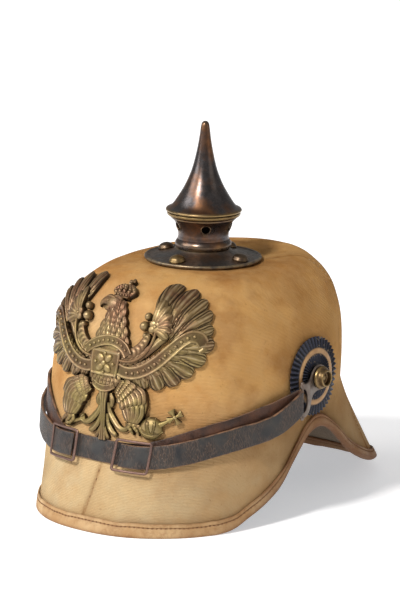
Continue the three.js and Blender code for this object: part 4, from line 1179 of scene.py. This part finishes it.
def wing_arm(flip):
    """The scalloped arm along the wing's gap, the ribbon with its pellets, the balls and the rosette."""
    strip(WING_ARM, [3.0, 3.2, 3.2, 3.0, 2.6, 2.2], 2.6, [2.0, 2.2, 2.2, 2.0], 60, 12, scalloped, flip=flip)
    strip(STALK, [1.0, 1.05, 1.0, 0.95], 3.4, [1.7, 1.8, 1.7], 48, 8, flip=flip, edge_tone=0.1)
    widths, heights = [3.7, 4.0, 4.1, 4.1, 4.0, 3.8, 3.5], [1.3, 1.4, 1.4, 1.4, 1.4, 1.3, 1.0]
    strip(RIBBON, widths, 3.4, heights, 84, 18, bordered, False, flip=flip)
    fold = [(62.4, 70.6), (63.4, 66.6), (60.6, 63.2)]
    strip(fold, [2.6, 3.0, 2.2], 2.2, [1.2, 1.3, 1.0], 20, 10, covert, False, flip=flip)
    for a, b in spine_points(RIBBON, 33)[0][4:30:2]:
        boss(a, b, 1.15, 1.15, 4.55, 0.9, 4, 12, flip=flip, low=3.8)
    for a, b, radius, high in ((22.9, 76.6, 3.1, 3.9), (24.0, 82.5, 2.4, 3.1), (24.9, 70.9, 1.9, 2.8)):
        boss(a, b, radius, radius, 2.4, high, 9, 22, flip=flip)
    for a, b, _ in four_round(*ROSETTE, 2.3, 2.3, 45):
        boss(a, b, 2.3, 2.3, 4.9, 0.8, 6, 18, flip=flip)
    boss(*ROSETTE, 1.4, 1.4, 5.2, 0.9, 5, 14, flip=flip)


def body():
    """The trunk and the neck with its rows of flame-shaped feathers."""
    spine = [(-0.5, 89.0), (-0.2, 80.0), (0.0, 72.0), (0.4, 62.0), (0.4, 50.0), (0.4, 38.0)]
    heights = [2.7, 2.7, 2.5, 2.4, 2.4, 2.3]
    strip(spine, [5.6, 7.4, 10.5, 14.5, 14.0, 8.5], 1.9, heights, 50, 20, round_tip=False)
    for row in range(8):
        b = 86.5 - 3.1 * row
        half = float(np.interp(b, [64, 72, 80, 87], [12.6, 9.8, 6.6, 4.6]))
        count = max(3, int(half * 2 / 3.5))
        for k in range(count):
            spread = (k - (count - 1) / 2 + (0.25 if row % 2 else -0.25)) / (count / 2)
            a = 0.3 + half * spread
            bend, tip = (a + spread * 0.5 + 0.3, b - 0.4), (a + spread * 1.6 - 0.2, b - 4.0)
            spine = [(a - spread * 0.8, b + 2.6), bend, tip]
            strip(spine, [1.6, 2.2, 1.6], 4.0 - 1.1 * spread * spread, [0.6, 1.15, 0.9], 16, 8, covert)


def head():
    """The head turned to its right, its two jaws, brow and eye, and feathers swept back over it."""
    boss(-3.8, 87.4, 6.3, 4.7, 2.8, 3.2, 12, 36, lean=-0.12)
    upper = [(-5.6, 88.0), (-9.6, 88.2), (-12.7, 87.2), (-14.6, 85.0), (-14.5, 83.3)]
    strip(upper, [3.6, 3.2, 2.4, 1.4, 0.5], 2.3, [3.2, 3.0, 2.5, 1.8, 1.0], 34, 10)
    strip([(-6.0, 84.4), (-9.2, 83.7), (-11.6, 84.0)], [2.2, 1.6, 0.7], 2.2, [2.4, 2.0, 1.2], 18, 8)
    strip([(-3.6, 89.8), (-7.8, 90.4), (-11.0, 89.6)], [0.8, 1.0, 0.5], 4.6, [1.2, 1.5, 0.8], 16, 6)
    boss(-7.6, 87.5, 1.7, 1.4, 4.9, 0.7, 5, 16, low=3.8)
    boss(-7.7, 87.5, 0.8, 0.7, 5.4, 0.8, 4, 10, low=3.8)
    for k in range(5):
        bend, tip = (-1.0 + 0.4 * k, 90.9 - 1.9 * k), (2.6 + 0.1 * k, 89.6 - 2.3 * k)
        spine = [(-4.0 + 0.5 * k, 90.6 - 1.7 * k), bend, tip]
        strip(spine, [0.9, 1.5, 1.1], 4.8 - 0.1 * k, [0.9, 1.3, 1.0], 16, 8, covert)


def royal_crown():
    """A jewelled circlet, five arches, orb and cross."""
    circlet = [(-5.9, 91.7), (-2.0, 92.1), (2.0, 92.2), (5.6, 91.9)]
    strip(circlet, [1.35, 1.45, 1.45, 1.3], 3.0, [2.2, 2.6, 2.6, 2.2], 28, 10, bordered, False)
    for k in range(5):
        boss(-4.6 + 2.2 * k, 92.1, 0.75, 0.75, 5.2, 0.8, 4, 10, low=4.0)
    boss(-0.3, 95.8, 6.8, 3.9, 1.8, 1.9, 8, 32)
    for lean in (-1.0, -0.52, 0.0, 0.52, 1.0):
        arch = [
            (-0.1 + 4.6 * lean, 93.0), (-0.2 + 6.8 * lean, 94.8), (-0.3 + 7.3 * lean, 97.0 - 0.9 * abs(lean)),
            (-0.4 + 4.2 * lean, 99.5), (-0.4 + 0.8 * lean, 100.1),
        ]
        heights = [1.5, 2.1, 2.2, 1.9, 1.6]
        strip(arch, [1.2, 1.4, 1.5, 1.3, 0.9], 2.7 + 0.5 * (1 - abs(lean)), heights, 28, 8, beaded)
    boss(-0.5, 101.7, 1.6, 1.5, 2.6, 2.3, 7, 16)
    for spine in ([(-0.6, 102.2), (-0.6, 106.6)], [(-2.8, 104.6), (1.6, 104.6)]):
        strip(spine, [1.2, 0.85, 1.2], 2.4, [1.4, 1.2, 1.4], 10, 6, round_tip=False)


CHEST = [(-16.8, 56.6), (-11.5, 60.4), (-5.0, 63.2), (1.2, 64.4), (7.4, 63.7), (12.6, 61.2), (16.4, 56.8)]
SHIELD_MIDDLE = (-0.8, 50.0)


def chest():
    """The chest ribbon, the shield with a plain quatrefoil, the belly's feathers and the belt."""
    heights = [1.4, 1.6, 1.7, 1.7, 1.7, 1.6, 1.4]
    strip(CHEST, [2.9, 3.2, 3.3, 3.3, 3.3, 3.2, 2.9], 4.3, heights, 52, 16, bordered, False)
    for a, b in spine_points(CHEST, 21)[0][2:19:2]:
        boss(a, b, 1.05, 1.05, 5.6, 0.85, 4, 12, low=4.8)
    shield = [(-0.9, 41.8), (-0.9, 50.0), (-0.7, 58.6)]
    strip(shield, [10.6, 11.4, 11.6], 3.9, [1.3, 1.5, 1.3], 34, 24, framed, False)
    for a, b, angle in four_round(*SHIELD_MIDDLE, 4.3, 4.3, 45):
        boss(a, b, 3.5, 2.5, 5.0, 1.6, 6, 20, lean=angle, low=4.5)
    for a, b, _ in four_round(*SHIELD_MIDDLE, 7.0, 6.0, 0):
        boss(a, b, 1.3, 1.3, 5.0, 1.3, 5, 12, low=4.5)
    boss(*SHIELD_MIDDLE, 2.2, 2.2, 5.2, 2.0, 6, 16, low=4.5)
    for row, (b, count) in enumerate(((41.0, 8), (38.6, 7), (36.4, 5))):
        for k in range(count):
            a = 0.1 + (k - (count - 1) / 2) * 2.8
            spine = [(a, b + 2.4), (1.1 * a, b), (1.12 * a, b - 2.8)]
            strip(spine, [1.4, 1.8, 1.4], 3.0 + 0.2 * row, [1.2, 1.6, 1.1], 14, 6, covert)
    belt = [(-8.4, 36.6), (-4.2, 34.4), (0.3, 33.6), (4.8, 34.4), (9.0, 36.6)]
    strip(belt, [1.7, 2.1, 2.2, 2.1, 1.7], 3.6, [1.4, 1.8, 1.9, 1.8, 1.4], 28, 10, bordered, False)


TAIL_LEAVES = [  # spine and half widths
    ([(3, 25), (4.6, 19.5), (8.2, 14.6), (12.6, 10.6), (16.6, 9.8), (18.6, 12.4), (16.8, 14.6)],
     [1.0, 1.7, 2.1, 2.1, 1.8, 1.5, 1.1]),
    ([(2.4, 18.0), (4.2, 11.6), (7.8, 6.9), (11.6, 4.9)], [1.0, 1.5, 2.0, 1.5]),
    ([(1.0, 11.0), (2.8, 6.0), (5.4, 1.8)], [0.8, 1.3, 1.3]),
    ([(3.6, 31.0), (5.6, 26.8), (5.2, 22.6)], [1.2, 1.9, 1.2]),
]


def tail():
    """A ribbed stem and scrolled leaves; the stem leans, so both sides' leaves lean with it."""
    stem = [(0.2, 34.0), (1.0, 24.0), (2.0, 13.0), (2.8, 0.6)]
    strip(stem, [4.2, 2.5, 1.9, 3.3], 2.2, [2.0, 2.0, 1.9, 1.5], 46, 18, ridged, False)
    for flip in (1, -1):
        for spine, widths in TAIL_LEAVES:
            spine = [(a + 2.0 * flip, b) for a, b in spine]
            strip(spine, widths, 1.6, [1.8, 2.1, 2.0, 1.6], 38, 10, covert, flip=flip)


THIGH = ((11.5, 37.5), (17.5, 34.2), (23.0, 29.0), (25.2, 22.0), (24.8, 14.5))
THIGH_WIDTHS, THIGH_CRESTS = [3.8, 7.8, 9.8, 7.6, 3.2], [2.4, 3.3, 3.7, 3.2, 2.2]
THIGH_ROWS = [  # start and end along the thigh, feathers, half width
    (0.01, 0.13, 6, 1.6), (0.08, 0.23, 7, 1.8), (0.18, 0.37, 7, 2.1), (0.31, 0.62, 6, 2.3),
    (0.53, 0.97, 5, 2.1),
]


def leg(flip, drop):
    """A feathered thigh and three toes."""
    spine = [(a, b - drop) for a, b in THIGH]
    strip(spine, THIGH_WIDTHS, 1.7, THIGH_CRESTS, 30, 14, draped, round_root=True, flip=flip)
    points, side, _ = spine_points(spine, 101)

    def on_thigh(t, s):
        k = int(np.clip(t, 0, 1) * 100)
        return points[k] + side[k] * s * float(smooth(THIGH_WIDTHS, k / 25))

    for row, (start, end, count, wide) in enumerate(THIGH_ROWS):
        for k in range(count):
            s = (k - (count - 1) / 2 + (0.22 if row % 2 else -0.22)) / (count / 2) * 0.93
            crest = float(smooth(THIGH_CRESTS, start * 4)) * (1 - 0.4 * abs(s) ** 2.4)
            bend = on_thigh((start + end) / 2, s * 1.02)
            spine = [on_thigh(start, s * 0.92), bend, on_thigh(end, s * 0.94)]
            widths, base = [wide * 0.7, wide, wide * 0.85], 2.5 + crest * 0.86 - 0.16 * row
            rows = 14 + int(26 * (end - start))
            strip(spine, widths, base, [0.1, 1.1, 1.7], rows, 8, covert, flip=flip, tilt=0.3)
    for bend in (-1, 0, 1):
        toe = [(24.8, 16.4), (26.0 + 3.6 * bend, 13.0), (28.4 + 4.2 * bend, 10.0), (29.8 + 3.8 * bend, 7.2)]
        toe = [(a, b - drop) for a, b in toe]
        strip(toe, [1.7, 1.6, 1.2, 0.4], 2.6, [2.0, 2.4, 2.2, 1.4], 28, 8, ringed, flip=flip)


ORB_MIDDLE, ORB_RADII = (36.4, 12.8), (7.7, 7.4)
ORB_BANDS = [
    ([(28.9, 13.4), (32.4, 10.4), (36.6, 9.2), (40.8, 9.8), (43.9, 12.0)], 1.25),
    ([(35.2, 20.0), (34.6, 16.2), (35.2, 12.4), (36.6, 9.4)], 1.15),
    ([(38.8, 19.8), (39.2, 16.4), (39.0, 13.0), (38.4, 9.6)], 0.8),
]
STAR = (51.1, 21.4)


def orb_and_sceptre():
    """The banded orb with its bar and star, and the sceptre's end in the other foot."""
    boss(*ORB_MIDDLE, *ORB_RADII, 1.9, 3.6, 16, 44)
    for line, half in ORB_BANDS:
        away = np.linalg.norm((np.array(line) - ORB_MIDDLE) / ORB_RADII, axis=1)
        base = 1.7 + 3.6 * np.sqrt(np.clip(1 - away**2, 0, 1))
        strip(line, half, base, 0.9, 34, 8, bordered, False)
    bar = [(42.0, 15.6), (45.4, 17.6), (48.6, 19.8)]
    strip(bar, [1.9, 1.3, 1.1], 2.1, [2.0, 1.8, 1.6], 14, 8, round_tip=False)
    for k in range(4):
        spine = ray(STAR, 32 + 90 * k, 2.2, 4.9)
        strip(spine, [0.8, 1.2, 2.3], 2.2, [1.6, 1.6, 1.4], 12, 6, round_tip=False)
    boss(*STAR, 1.4, 1.4, 3.2, 1.1, 5, 12)
    strip([(-13.0, 12.4), (-20.0, 9.4), (-28.5, 6.4)], [1.5, 1.2, 1.3], 2.0, [1.7, 1.6, 1.6], 30, 8)
    boss(-28.6, 6.4, 2.2, 2.2, 2.0, 2.2, 6, 16)


for flip in (1, -1):
    wing_feathers(flip)
    wing_arm(flip)
body()
head()
royal_crown()
chest()
tail()
leg(1, 0.0)
leg(-1, 2.4)
orb_and_sceptre()
eagle = cleaned(joined("eagle_plate", relief), 50)
finished(eagle, EAGLE_BRASS, ["helmet_plate"])

# ---------------------------------------------------------------- cockades, lugs and nuts over the ears
SIDE_OUT = helmet_normal(np.array(SIDE_TURN), np.array(SIDE_Z))
SIDE_ALONG = unit(np.cross([0, 0, 1], SIDE_OUT))
SIDE_UP = np.cross(SIDE_OUT, SIDE_ALONG)
SIDE_WAYS = np.array([SIDE_ALONG, SIDE_UP, SIDE_OUT])


def beside_ear(behind, above, out):
    """A point off the helmet's side, from true distances behind and above the cockade's middle."""
    z, start = SIDE_Z + above, np.full(above.shape, 0.1)
    aim = SIDE_MID[1] + behind
    return off_helmet(searched(start, start + 0.3, lambda turn: helmet_point(turn, z)[..., 1] < aim), z, out)


def in_side_frame(points, mirror=1):
    """From distances behind, above and out of the ear's middle; a mirror of -1 is the right ear."""
    return (SIDE_MID + np.asarray(points, float) @ SIDE_WAYS) * [mirror, 1, 1]


FLUTES, SHEET = 46, 0.8
RADII = [
    3.6, 6.0, 7.5, 8.4, 8.9, 10.5, 12.5, 14.2, 14.9, 15.2, 16.2, 17.6, 18.6, 18.9, 19.6, 21.0, 22.5, 24.0,
    25.0, 25.3,
]
RING = (15.1, 18.8)  # inner and outer radius of the cream ring


def cockade(side, mirror):
    """A dished disc in three zones: flutes, a plain raised ring and flutes with a scalloped edge."""
    theta, rr = np.meshgrid(np.arange(FLUTES * 6) / (FLUTES * 6) * 2 * math.pi, RADII)
    crest = 0.5 + 0.5 * np.cos(theta * FLUTES)
    fluted = ramp(rr, 8.4, 9.6) * ramp(rr, 15.1, 14.3) + ramp(rr, 18.7, 19.5)
    dish = np.interp(rr, [3.4, 9, 14.5, 20, 25.3], [0.5, 0.6, 0.9, 0.6, 0.1])
    out = 1.4 + dish + 0.7 * bell(rr - 16.9, 1.8) + fluted * (1.35 * crest**0.8 - 0.5)
    reach = rr + np.maximum(rr - 24.6, 0) * 0.9 * (crest - 0.6)
    a, b = reach * np.cos(theta), reach * np.sin(theta)
    top, under = (beside_ear(a, b, out + half) for half in (SHEET / 2, -SHEET / 2))
    # crest tone: it carries the painted glint and wear of the flute crests and the painted shade of their
    # valleys
    tone = np.where(fluted > 0.3, crest, 0.4)
    points, tone = np.concatenate([top, under[::-1]]) * [mirror, 1, 1], np.concatenate([tone, tone[::-1]])
    piece = loft(f"fluted_cockade_{side}", points, round_ring=True, round_run=True, tone=tone, soft=50)
    where = (points_of(piece) / MM - [0, AXIS_Y, 0]) * [mirror, 1, 1] - SIDE_MID
    away = np.hypot(where @ SIDE_ALONG, where @ SIDE_UP)
    set_attribute(piece, "ring", ramp(away, RING[0], RING[0] + 0.3) * ramp(away, RING[1], RING[1] - 0.3))
    finished(piece, COCKADE, [f"cockade_{side}"])


LUG_OFF, LUG_SHEET, LUG_LIFT, BAR_A, BAR_B = 3.9, 1.4, 1.9, -20.5, -12.0
LUG_OUTLINE = [  # the plate's outline, from its eye round the fork
    (7.8, 0.0), (7.0, 3.8), (4.6, 6.9), (0.6, 8.4), (-3.6, 7.7), (-6.9, 5.2), (-9.4, 2.6), (-12.6, 0.2),
    (-16.0, -0.9), (-19.6, -0.7), (-21.8, -1.0), (-22.4, -2.4), (-21.6, -3.9), (-19.4, -4.2), (-17.0, -5.4),
    (-15.7, -8.4), (-15.3, -12.0), (-15.7, -15.6), (-17.2, -18.6), (-19.4, -19.8), (-21.6, -20.2),
    (-22.4, -21.6), (-21.8, -23.0), (-19.6, -23.4), (-16.0, -22.4), (-12.8, -19.6), (-10.4, -15.4),
    (-7.4, -11.2), (-3.2, -8.7), (1.0, -8.4), (4.8, -6.8), (7.1, -3.8),
]
BAR_HALF = [  # place along the bar and radius there
    (2, 0.9), (6, 0.9), (9.4, 0.95), (9.9, 1.0), (10.4, 1.25), (11.1, 1.45), (12, 1.3), (12.6, 0.8),
    (12.8, 0.2),
]


def lug_plate(side, mirror):
    """The forked sheet, bevelled and bent away from the helmet towards its bar."""
    outline = np.array(LUG_OUTLINE, float)
    fine = np.concatenate([outline[-2:], outline, outline[:3]])
    at = np.arange(2, 2 + len(outline), 0.34)
    outline = np.stack([smooth(fine[:, 0], at), smooth(fine[:, 1], at), 0 * at], 1)
    pick()
    bpy.ops.mesh.primitive_circle_add(vertices=len(outline), radius=1, fill_type="NGON")
    plate = named(bpy.context.object, f"forked_lug_{side}")
    set_points(plate, outline)
    thicken = {"TRANSFORM_OT_translate": {"value": (0, 0, LUG_SHEET)}}
    outward = (bpy.ops.mesh.normals_make_consistent, {"inside": False})
    edit(plate, (bpy.ops.mesh.extrude_region_move, thicken), outward)
    bevel = {"width": 0.38, "segments": 3, "limit_method": "ANGLE", "angle_limit": math.radians(50)}
    apply_modifier(plate, "BEVEL", **bevel)
    cuts = [{"plane_co": (cut, 0, 0), "plane_no": (1, 0, 0)} for cut in np.arange(-21.5, 8, 2.2)]
    edit(plate, *((bpy.ops.mesh.bisect, cut) for cut in cuts), (bpy.ops.mesh.quads_convert_to_tris, {}))
    points = points_of(plate)
    rise = ramp(-points[:, 0], 6, 14.5)
    points[:, 2] += LUG_OFF + LUG_LIFT * rise * rise * (3 - 2 * rise)
    set_points(plate, place(in_side_frame(points, mirror)))
    return plate


def lug(side, mirror):
    """A forked lug with the round bar that the strap turns on, knobbed at each end."""
    plate = lug_plate(side, mirror)
    ends = [(-along, fat) for along, fat in reversed(BAR_HALF)]
    along, fat = (column[:, None] for column in np.array(ends + BAR_HALF).T)
    theta = np.arange(16) / 16 * 2 * math.pi
    up = LUG_OFF + LUG_LIFT + LUG_SHEET / 2 + fat * np.sin(theta)
    ring = np.stack([BAR_A + fat * np.cos(theta), BAR_B + along + 0 * theta, up], -1)
    bar = loft("bar", in_side_frame(ring, mirror), round_ring=True, capped=True)
    whole = cleaned(joined(f"forked_lug_{side}", [plate, bar]), 35, 1e-7)
    finished(whole, LUG_STEEL, [f"strap_lug_{side}"])


NUT_SEAT, NUT_POST = 5.65, [(0.001, 0.35), (3.0, 0.35)]
NUT_HEAD = [  # radius and height over its seat
    (3.0, 0), (6.6, 0), (7.3, 0.3), (7.55, 1.0), (7.35, 1.8), (6.7, 2.3), (6.0, 2.6), (5.75, 3.2),
    (5.7, 4.6), (5.55, 5.4), (5.0, 5.85), (4.4, 5.6), (4.1, 4.6), (3.9, 3.0), (3.2, 2.6), (2.3, 2.7),
    (1.5, 3.4), (0.001, 3.6),
]


def side_nut(side, mirror):
    """A domed nut with a ring-shaped recess, on its short post."""
    profile = NUT_POST + [(radius, NUT_SEAT + high) for radius, high in NUT_HEAD]
    piece = turned(f"ring_nut_{side}", profile, 56, 30)
    set_points(piece, place(in_side_frame(points_of(piece) / MM, mirror)))
    finished(cleaned(piece, 30), BRASS, [f"side_nut_{side}"])


for side, mirror in (("left", 1), ("right", -1)):
    cockade(side, mirror)
    lug(side, mirror)
    side_nut(side, mirror)

# ---------------------------------------------------------------- chin strap
STRAP_WIDE, STRAP_THICK, LOOP, BULGE, BUCKLE_BULGE = 15.0, 1.8, 2.35, 1.5, 1.5
LOOSE_TURN, LAST_TURN = 0.067, STRAP_TURN[-1]
RUN_STEPS, LOOP_STEPS = 80, 13


def on_run(turns, layer, bulge, buckle, raised=0.0):
    """Points of the strap's middle and the helmet's normals there."""
    row = row_at(STRAP_TURN, turns)
    z, out = smooth(STRAP_Z[layer], row), smooth(STRAP_OFF[layer], row) + 0.8
    out = out + bulge * np.sin(np.pi * ramp(turns, LOOSE_TURN, LAST_TURN)) ** 2
    if layer == "inner":
        z = z + raised * np.sin(np.pi * ramp(turns, 0.035, LAST_TURN)) ** 1.5
    else:
        out = out + BUCKLE_BULGE * bell(turns - abs(buckle) - 0.001, 0.0115)
    return off_helmet(turns, z, out), helmet_normal(turns, z)


def strap_half(buckle, bulge, raised):
    """Points and outward ways of one side: from its buckle to the bar, round it and back to the middle."""
    outer = on_run(np.linspace(abs(buckle) - 0.0145, LAST_TURN, RUN_STEPS), "outer", bulge, buckle)
    angles = np.radians(np.linspace(84, -84, LOOP_STEPS))[:, None]
    around = np.sin(angles) * SIDE_OUT - np.cos(angles) * SIDE_ALONG
    loop = in_side_frame([BAR_A, BAR_B, LUG_OFF + LUG_LIFT + LUG_SHEET / 2]) + LOOP * around
    inner = on_run(np.linspace(LAST_TURN, 0.0, RUN_STEPS + 4)[:-1], "inner", 0.0, buckle, raised)
    return np.concatenate([outer[0], loop, inner[0]]), np.concatenate([outer[1], around, -inner[1]])


def strap_section():
    """Outline of the strap's cut with its rounded edges: sideways, outward, how worn."""
    half, thick, edge = STRAP_WIDE / 2, STRAP_THICK / 2, 0.55
    one = [(q, -thick, 0.0) for q in np.linspace(-half + edge, half - edge, 9)]
    corner = half - edge * 0.3, thick - edge * 0.35
    one += [(corner[0], -corner[1], 0.6), (half, 0.0, 1.0), (*corner, 0.6)]
    return np.array(one + [(-across, -out, worn) for across, out, worn in one])


def strap():
    """The chin strap as one band: its left side, its front and its right side."""
    left, right = strap_half(BUCKLE_TURNS["left"], 0.0, 1.0), strap_half(BUCKLE_TURNS["right"], BULGE, 12.0)
    front, face = on_run(np.array([0.0]), "inner", 0.0, 0.04)
    flipped = [-1, 1, 1]
    points = np.concatenate([left[0], front, (right[0] * flipped)[::-1]])
    faces = np.concatenate([left[1], -face, (right[1] * flipped)[::-1]])
    at_bar = np.zeros(len(points), bool)
    at_bar[RUN_STEPS:RUN_STEPS + LOOP_STEPS] = True
    at_bar = at_bar | at_bar[::-1]
    for _ in range(6):  # eases the turns into and out of the bar
        points[1:-1] = (points[:-2] + 2 * points[1:-1] + points[2:]) / 4
    along = unit(np.gradient(points, axis=0))
    across = unit(np.cross(along, faces))
    across[at_bar] = SIDE_UP
    across *= np.where(across[:, 2:] < 0, -1, 1)
    for _ in range(8):
        across[1:-1] = unit(across[:-2] + 2 * across[1:-1] + across[2:])
    face = unit(np.cross(along, across))
    section = strap_section()
    side, out, worn = section.T
    from_edge = STRAP_WIDE / 2 - np.abs(side)
    wide = side + np.sign(side) * 0.22 * bumps(points, 5, 21)[:, None] * (from_edge < 1)
    ring = points[:, None] + across[:, None] * wide[..., None] + face[:, None] * out[:, None]
    ring = ring + face[:, None] * (0.12 * bumps(ring, 6, 22))[..., None]
    scuffed = np.clip(0.1 + 0.35 * bumps(ring, 11, 23), 0, 1)
    tone = worn + 0.45 * ramp(from_edge, 1.6, 0) + 0.5 * scuffed
    flesh = out * np.sign((face[:RUN_STEPS] * faces[:RUN_STEPS]).sum()) < 0.01 - STRAP_THICK / 2
    tone = np.where(flesh & (np.abs(points[:, :1]) > 27), -1.0, tone)
    steps, girth = arc_lengths(points), arc_lengths(section[[*range(len(section)), 0], :2])
    flat = np.stack(np.meshgrid(girth, steps), -1)[..., ::-1] * MM
    piece = loft("folded_chin_strap", ring, round_ring=True, capped=True, uv=flat, tone=tone, soft=50)
    finished(piece, STRAP_LEATHER, ["chin_strap"])
    print("strap length, mm:", round(steps[-1], 1))


strap()

# ---------------------------------------------------------------- buckles
BUCKLE_HALF, BUCKLE_BEND, BUCKLE_WIRE, BUCKLE_OFF, BUCKLE_Z = np.array([11.5, 10.0]), 1.4, 0.9, 5.0, 49.4


def buckle_line():
    """The wire's middle line: four bent corners and the straight sides after them."""
    corners = []
    for quarter, way in enumerate(((1, 1), (-1, 1), (-1, -1), (1, -1))):
        angles = math.pi / 2 * (quarter + np.linspace(0, 1, 9))
        bend = BUCKLE_BEND * np.stack([np.cos(angles), np.sin(angles)], 1)
        corners.append(way * (BUCKLE_HALF - BUCKLE_BEND) + bend)
    line = []
    for corner, after in zip(corners, corners[1:] + corners[:1]):
        line += [corner, corner[-1] + (after[0] - corner[-1]) * np.arange(1, 10)[:, None] / 10]
    return np.concatenate(line)


def wire_buckle(side, turn):
    """A bent wire frame with rounded corners, flattened a little where it bears on the strap."""
    line = buckle_line()
    seeded = np.concatenate([line, 0 * line[:, :1] + turn * 500], 1)
    line += 0.12 * np.stack([bumps(seeded, 6, seed) for seed in (31, 32)], 1)
    along = unit(np.roll(line, -1, 0) - np.roll(line, 1, 0))
    theta = np.arange(12) / 12 * 2 * math.pi
    round_wire = BUCKLE_WIRE * np.cos(theta)
    a = line[:, :1] + along[:, 1:] * round_wire
    b = line[:, 1:] - along[:, :1] * round_wire
    ahead, behind = helmet_point(turn + 0.001, BUCKLE_Z), helmet_point(turn - 0.001, BUCKLE_Z)
    over_it, under_it = helmet_point(turn, BUCKLE_Z + 0.5), helmet_point(turn, BUCKLE_Z - 0.5)
    turns = turn + a * 0.002 / np.linalg.norm(ahead - behind)
    heights = BUCKLE_Z + b / np.linalg.norm(over_it - under_it)
    points = off_helmet(turns, heights, BUCKLE_OFF + 0.75 * BUCKLE_WIRE * np.sin(theta) + 0 * a)
    piece = loft(f"wire_buckle_{side}", points, round_ring=True, round_run=True, soft=60)
    finished(piece, BUCKLE_STEEL, [f"buckle_{side}"])


for side, turn in BUCKLE_TURNS.items():
    wire_buckle(side, turn)

# ---------------------------------------------------------------- floor, light and camera
SUN_COLOUR, WARM = (1.0, 0.985, 0.96), (1.0, 0.86, 0.70)
bpy.ops.object.select_all(action="DESELECT")
bpy.ops.mesh.primitive_plane_add(size=24, location=(0, 0, -0.0001))
floor = named(bpy.context.object, "floor")
# The floor glows a little in a cool tint: painted light that lightens its cast shadows and lights the helmet
# from below.
glowing_floor = Finish(
    "pale glowing floor", Roughness=0.7, Specular_IOR_Level=0.2, Emission_Color=(0.905, 0.945, 1.0, 1.0),
    Emission_Strength=0.45, Base_Color=(0.86, 0.85, 0.85, 1.0),
)
floor.data.materials.append(glowing_floor.material)


def aimed(name, data, position, target, roll=0.0):
    """Stands a light or the camera at a place, facing another."""
    thing = bpy.data.objects.new(name, data)
    bpy.context.scene.collection.objects.link(thing)
    facing = (Vector(position) - Vector(target)).to_track_quat("Z", "Y").to_matrix()
    facing = facing @ Matrix.Rotation(roll, 3, "Z")
    thing.matrix_world = Matrix.Translation(position) @ facing.to_4x4()
    return thing


def softbox(name, position, size, power, colour):
    data = bpy.data.lights.new(name, "AREA")
    data.shape, data.size, data.energy, data.color = "DISK", size, power, colour
    aimed(name, data, position, (0, AXIS_Y * MM, 0.10))


def soft_sun(name, azimuth, elevation, strength, spread, colour):
    """A large soft source far off: azimuth 0 is the helmet's front, 90 its left."""
    data = bpy.data.lights.new(name, "SUN")
    data.angle, data.energy, data.color = math.radians(spread), strength, colour
    a, e = math.radians(azimuth), math.radians(elevation)
    position = (3 * math.sin(a) * math.cos(e), -3 * math.cos(a) * math.cos(e), 3 * math.sin(e))
    aimed(name, data, position, (0, 0, 0))


soft_sun("key light", 2, 40, 2.9, 9, SUN_COLOUR)
softbox("left softbox", (-1.15, -1.45, 1.15), 1.3, 23.0, SUN_COLOUR)
softbox("right softbox", (1.5, 0.35, 0.75), 1.1, 2.2, WARM)

world = bpy.data.worlds.new("studio")
world.use_nodes = True
background = world.node_tree.nodes["Background"]
background.inputs["Color"].default_value = (1.0, 0.97, 0.93, 1.0)
background.inputs["Strength"].default_value = 0.30
bpy.context.scene.world = world

lens = bpy.data.cameras.new("camera")
lens.lens, lens.sensor_width, lens.clip_start, lens.clip_end = 220.08, 36.0, 0.1, 60.0
EYE_AT, LOOKS_AT = (1.4789, -1.8263 + AXIS_Y * MM, 0.652), (-0.001155, (-0.935 + AXIS_Y) * MM, 0.130742)
bpy.context.scene.camera = aimed("camera", lens, EYE_AT, LOOKS_AT, math.radians(1.0))
bpy.context.scene.view_settings.view_transform = "Standard"
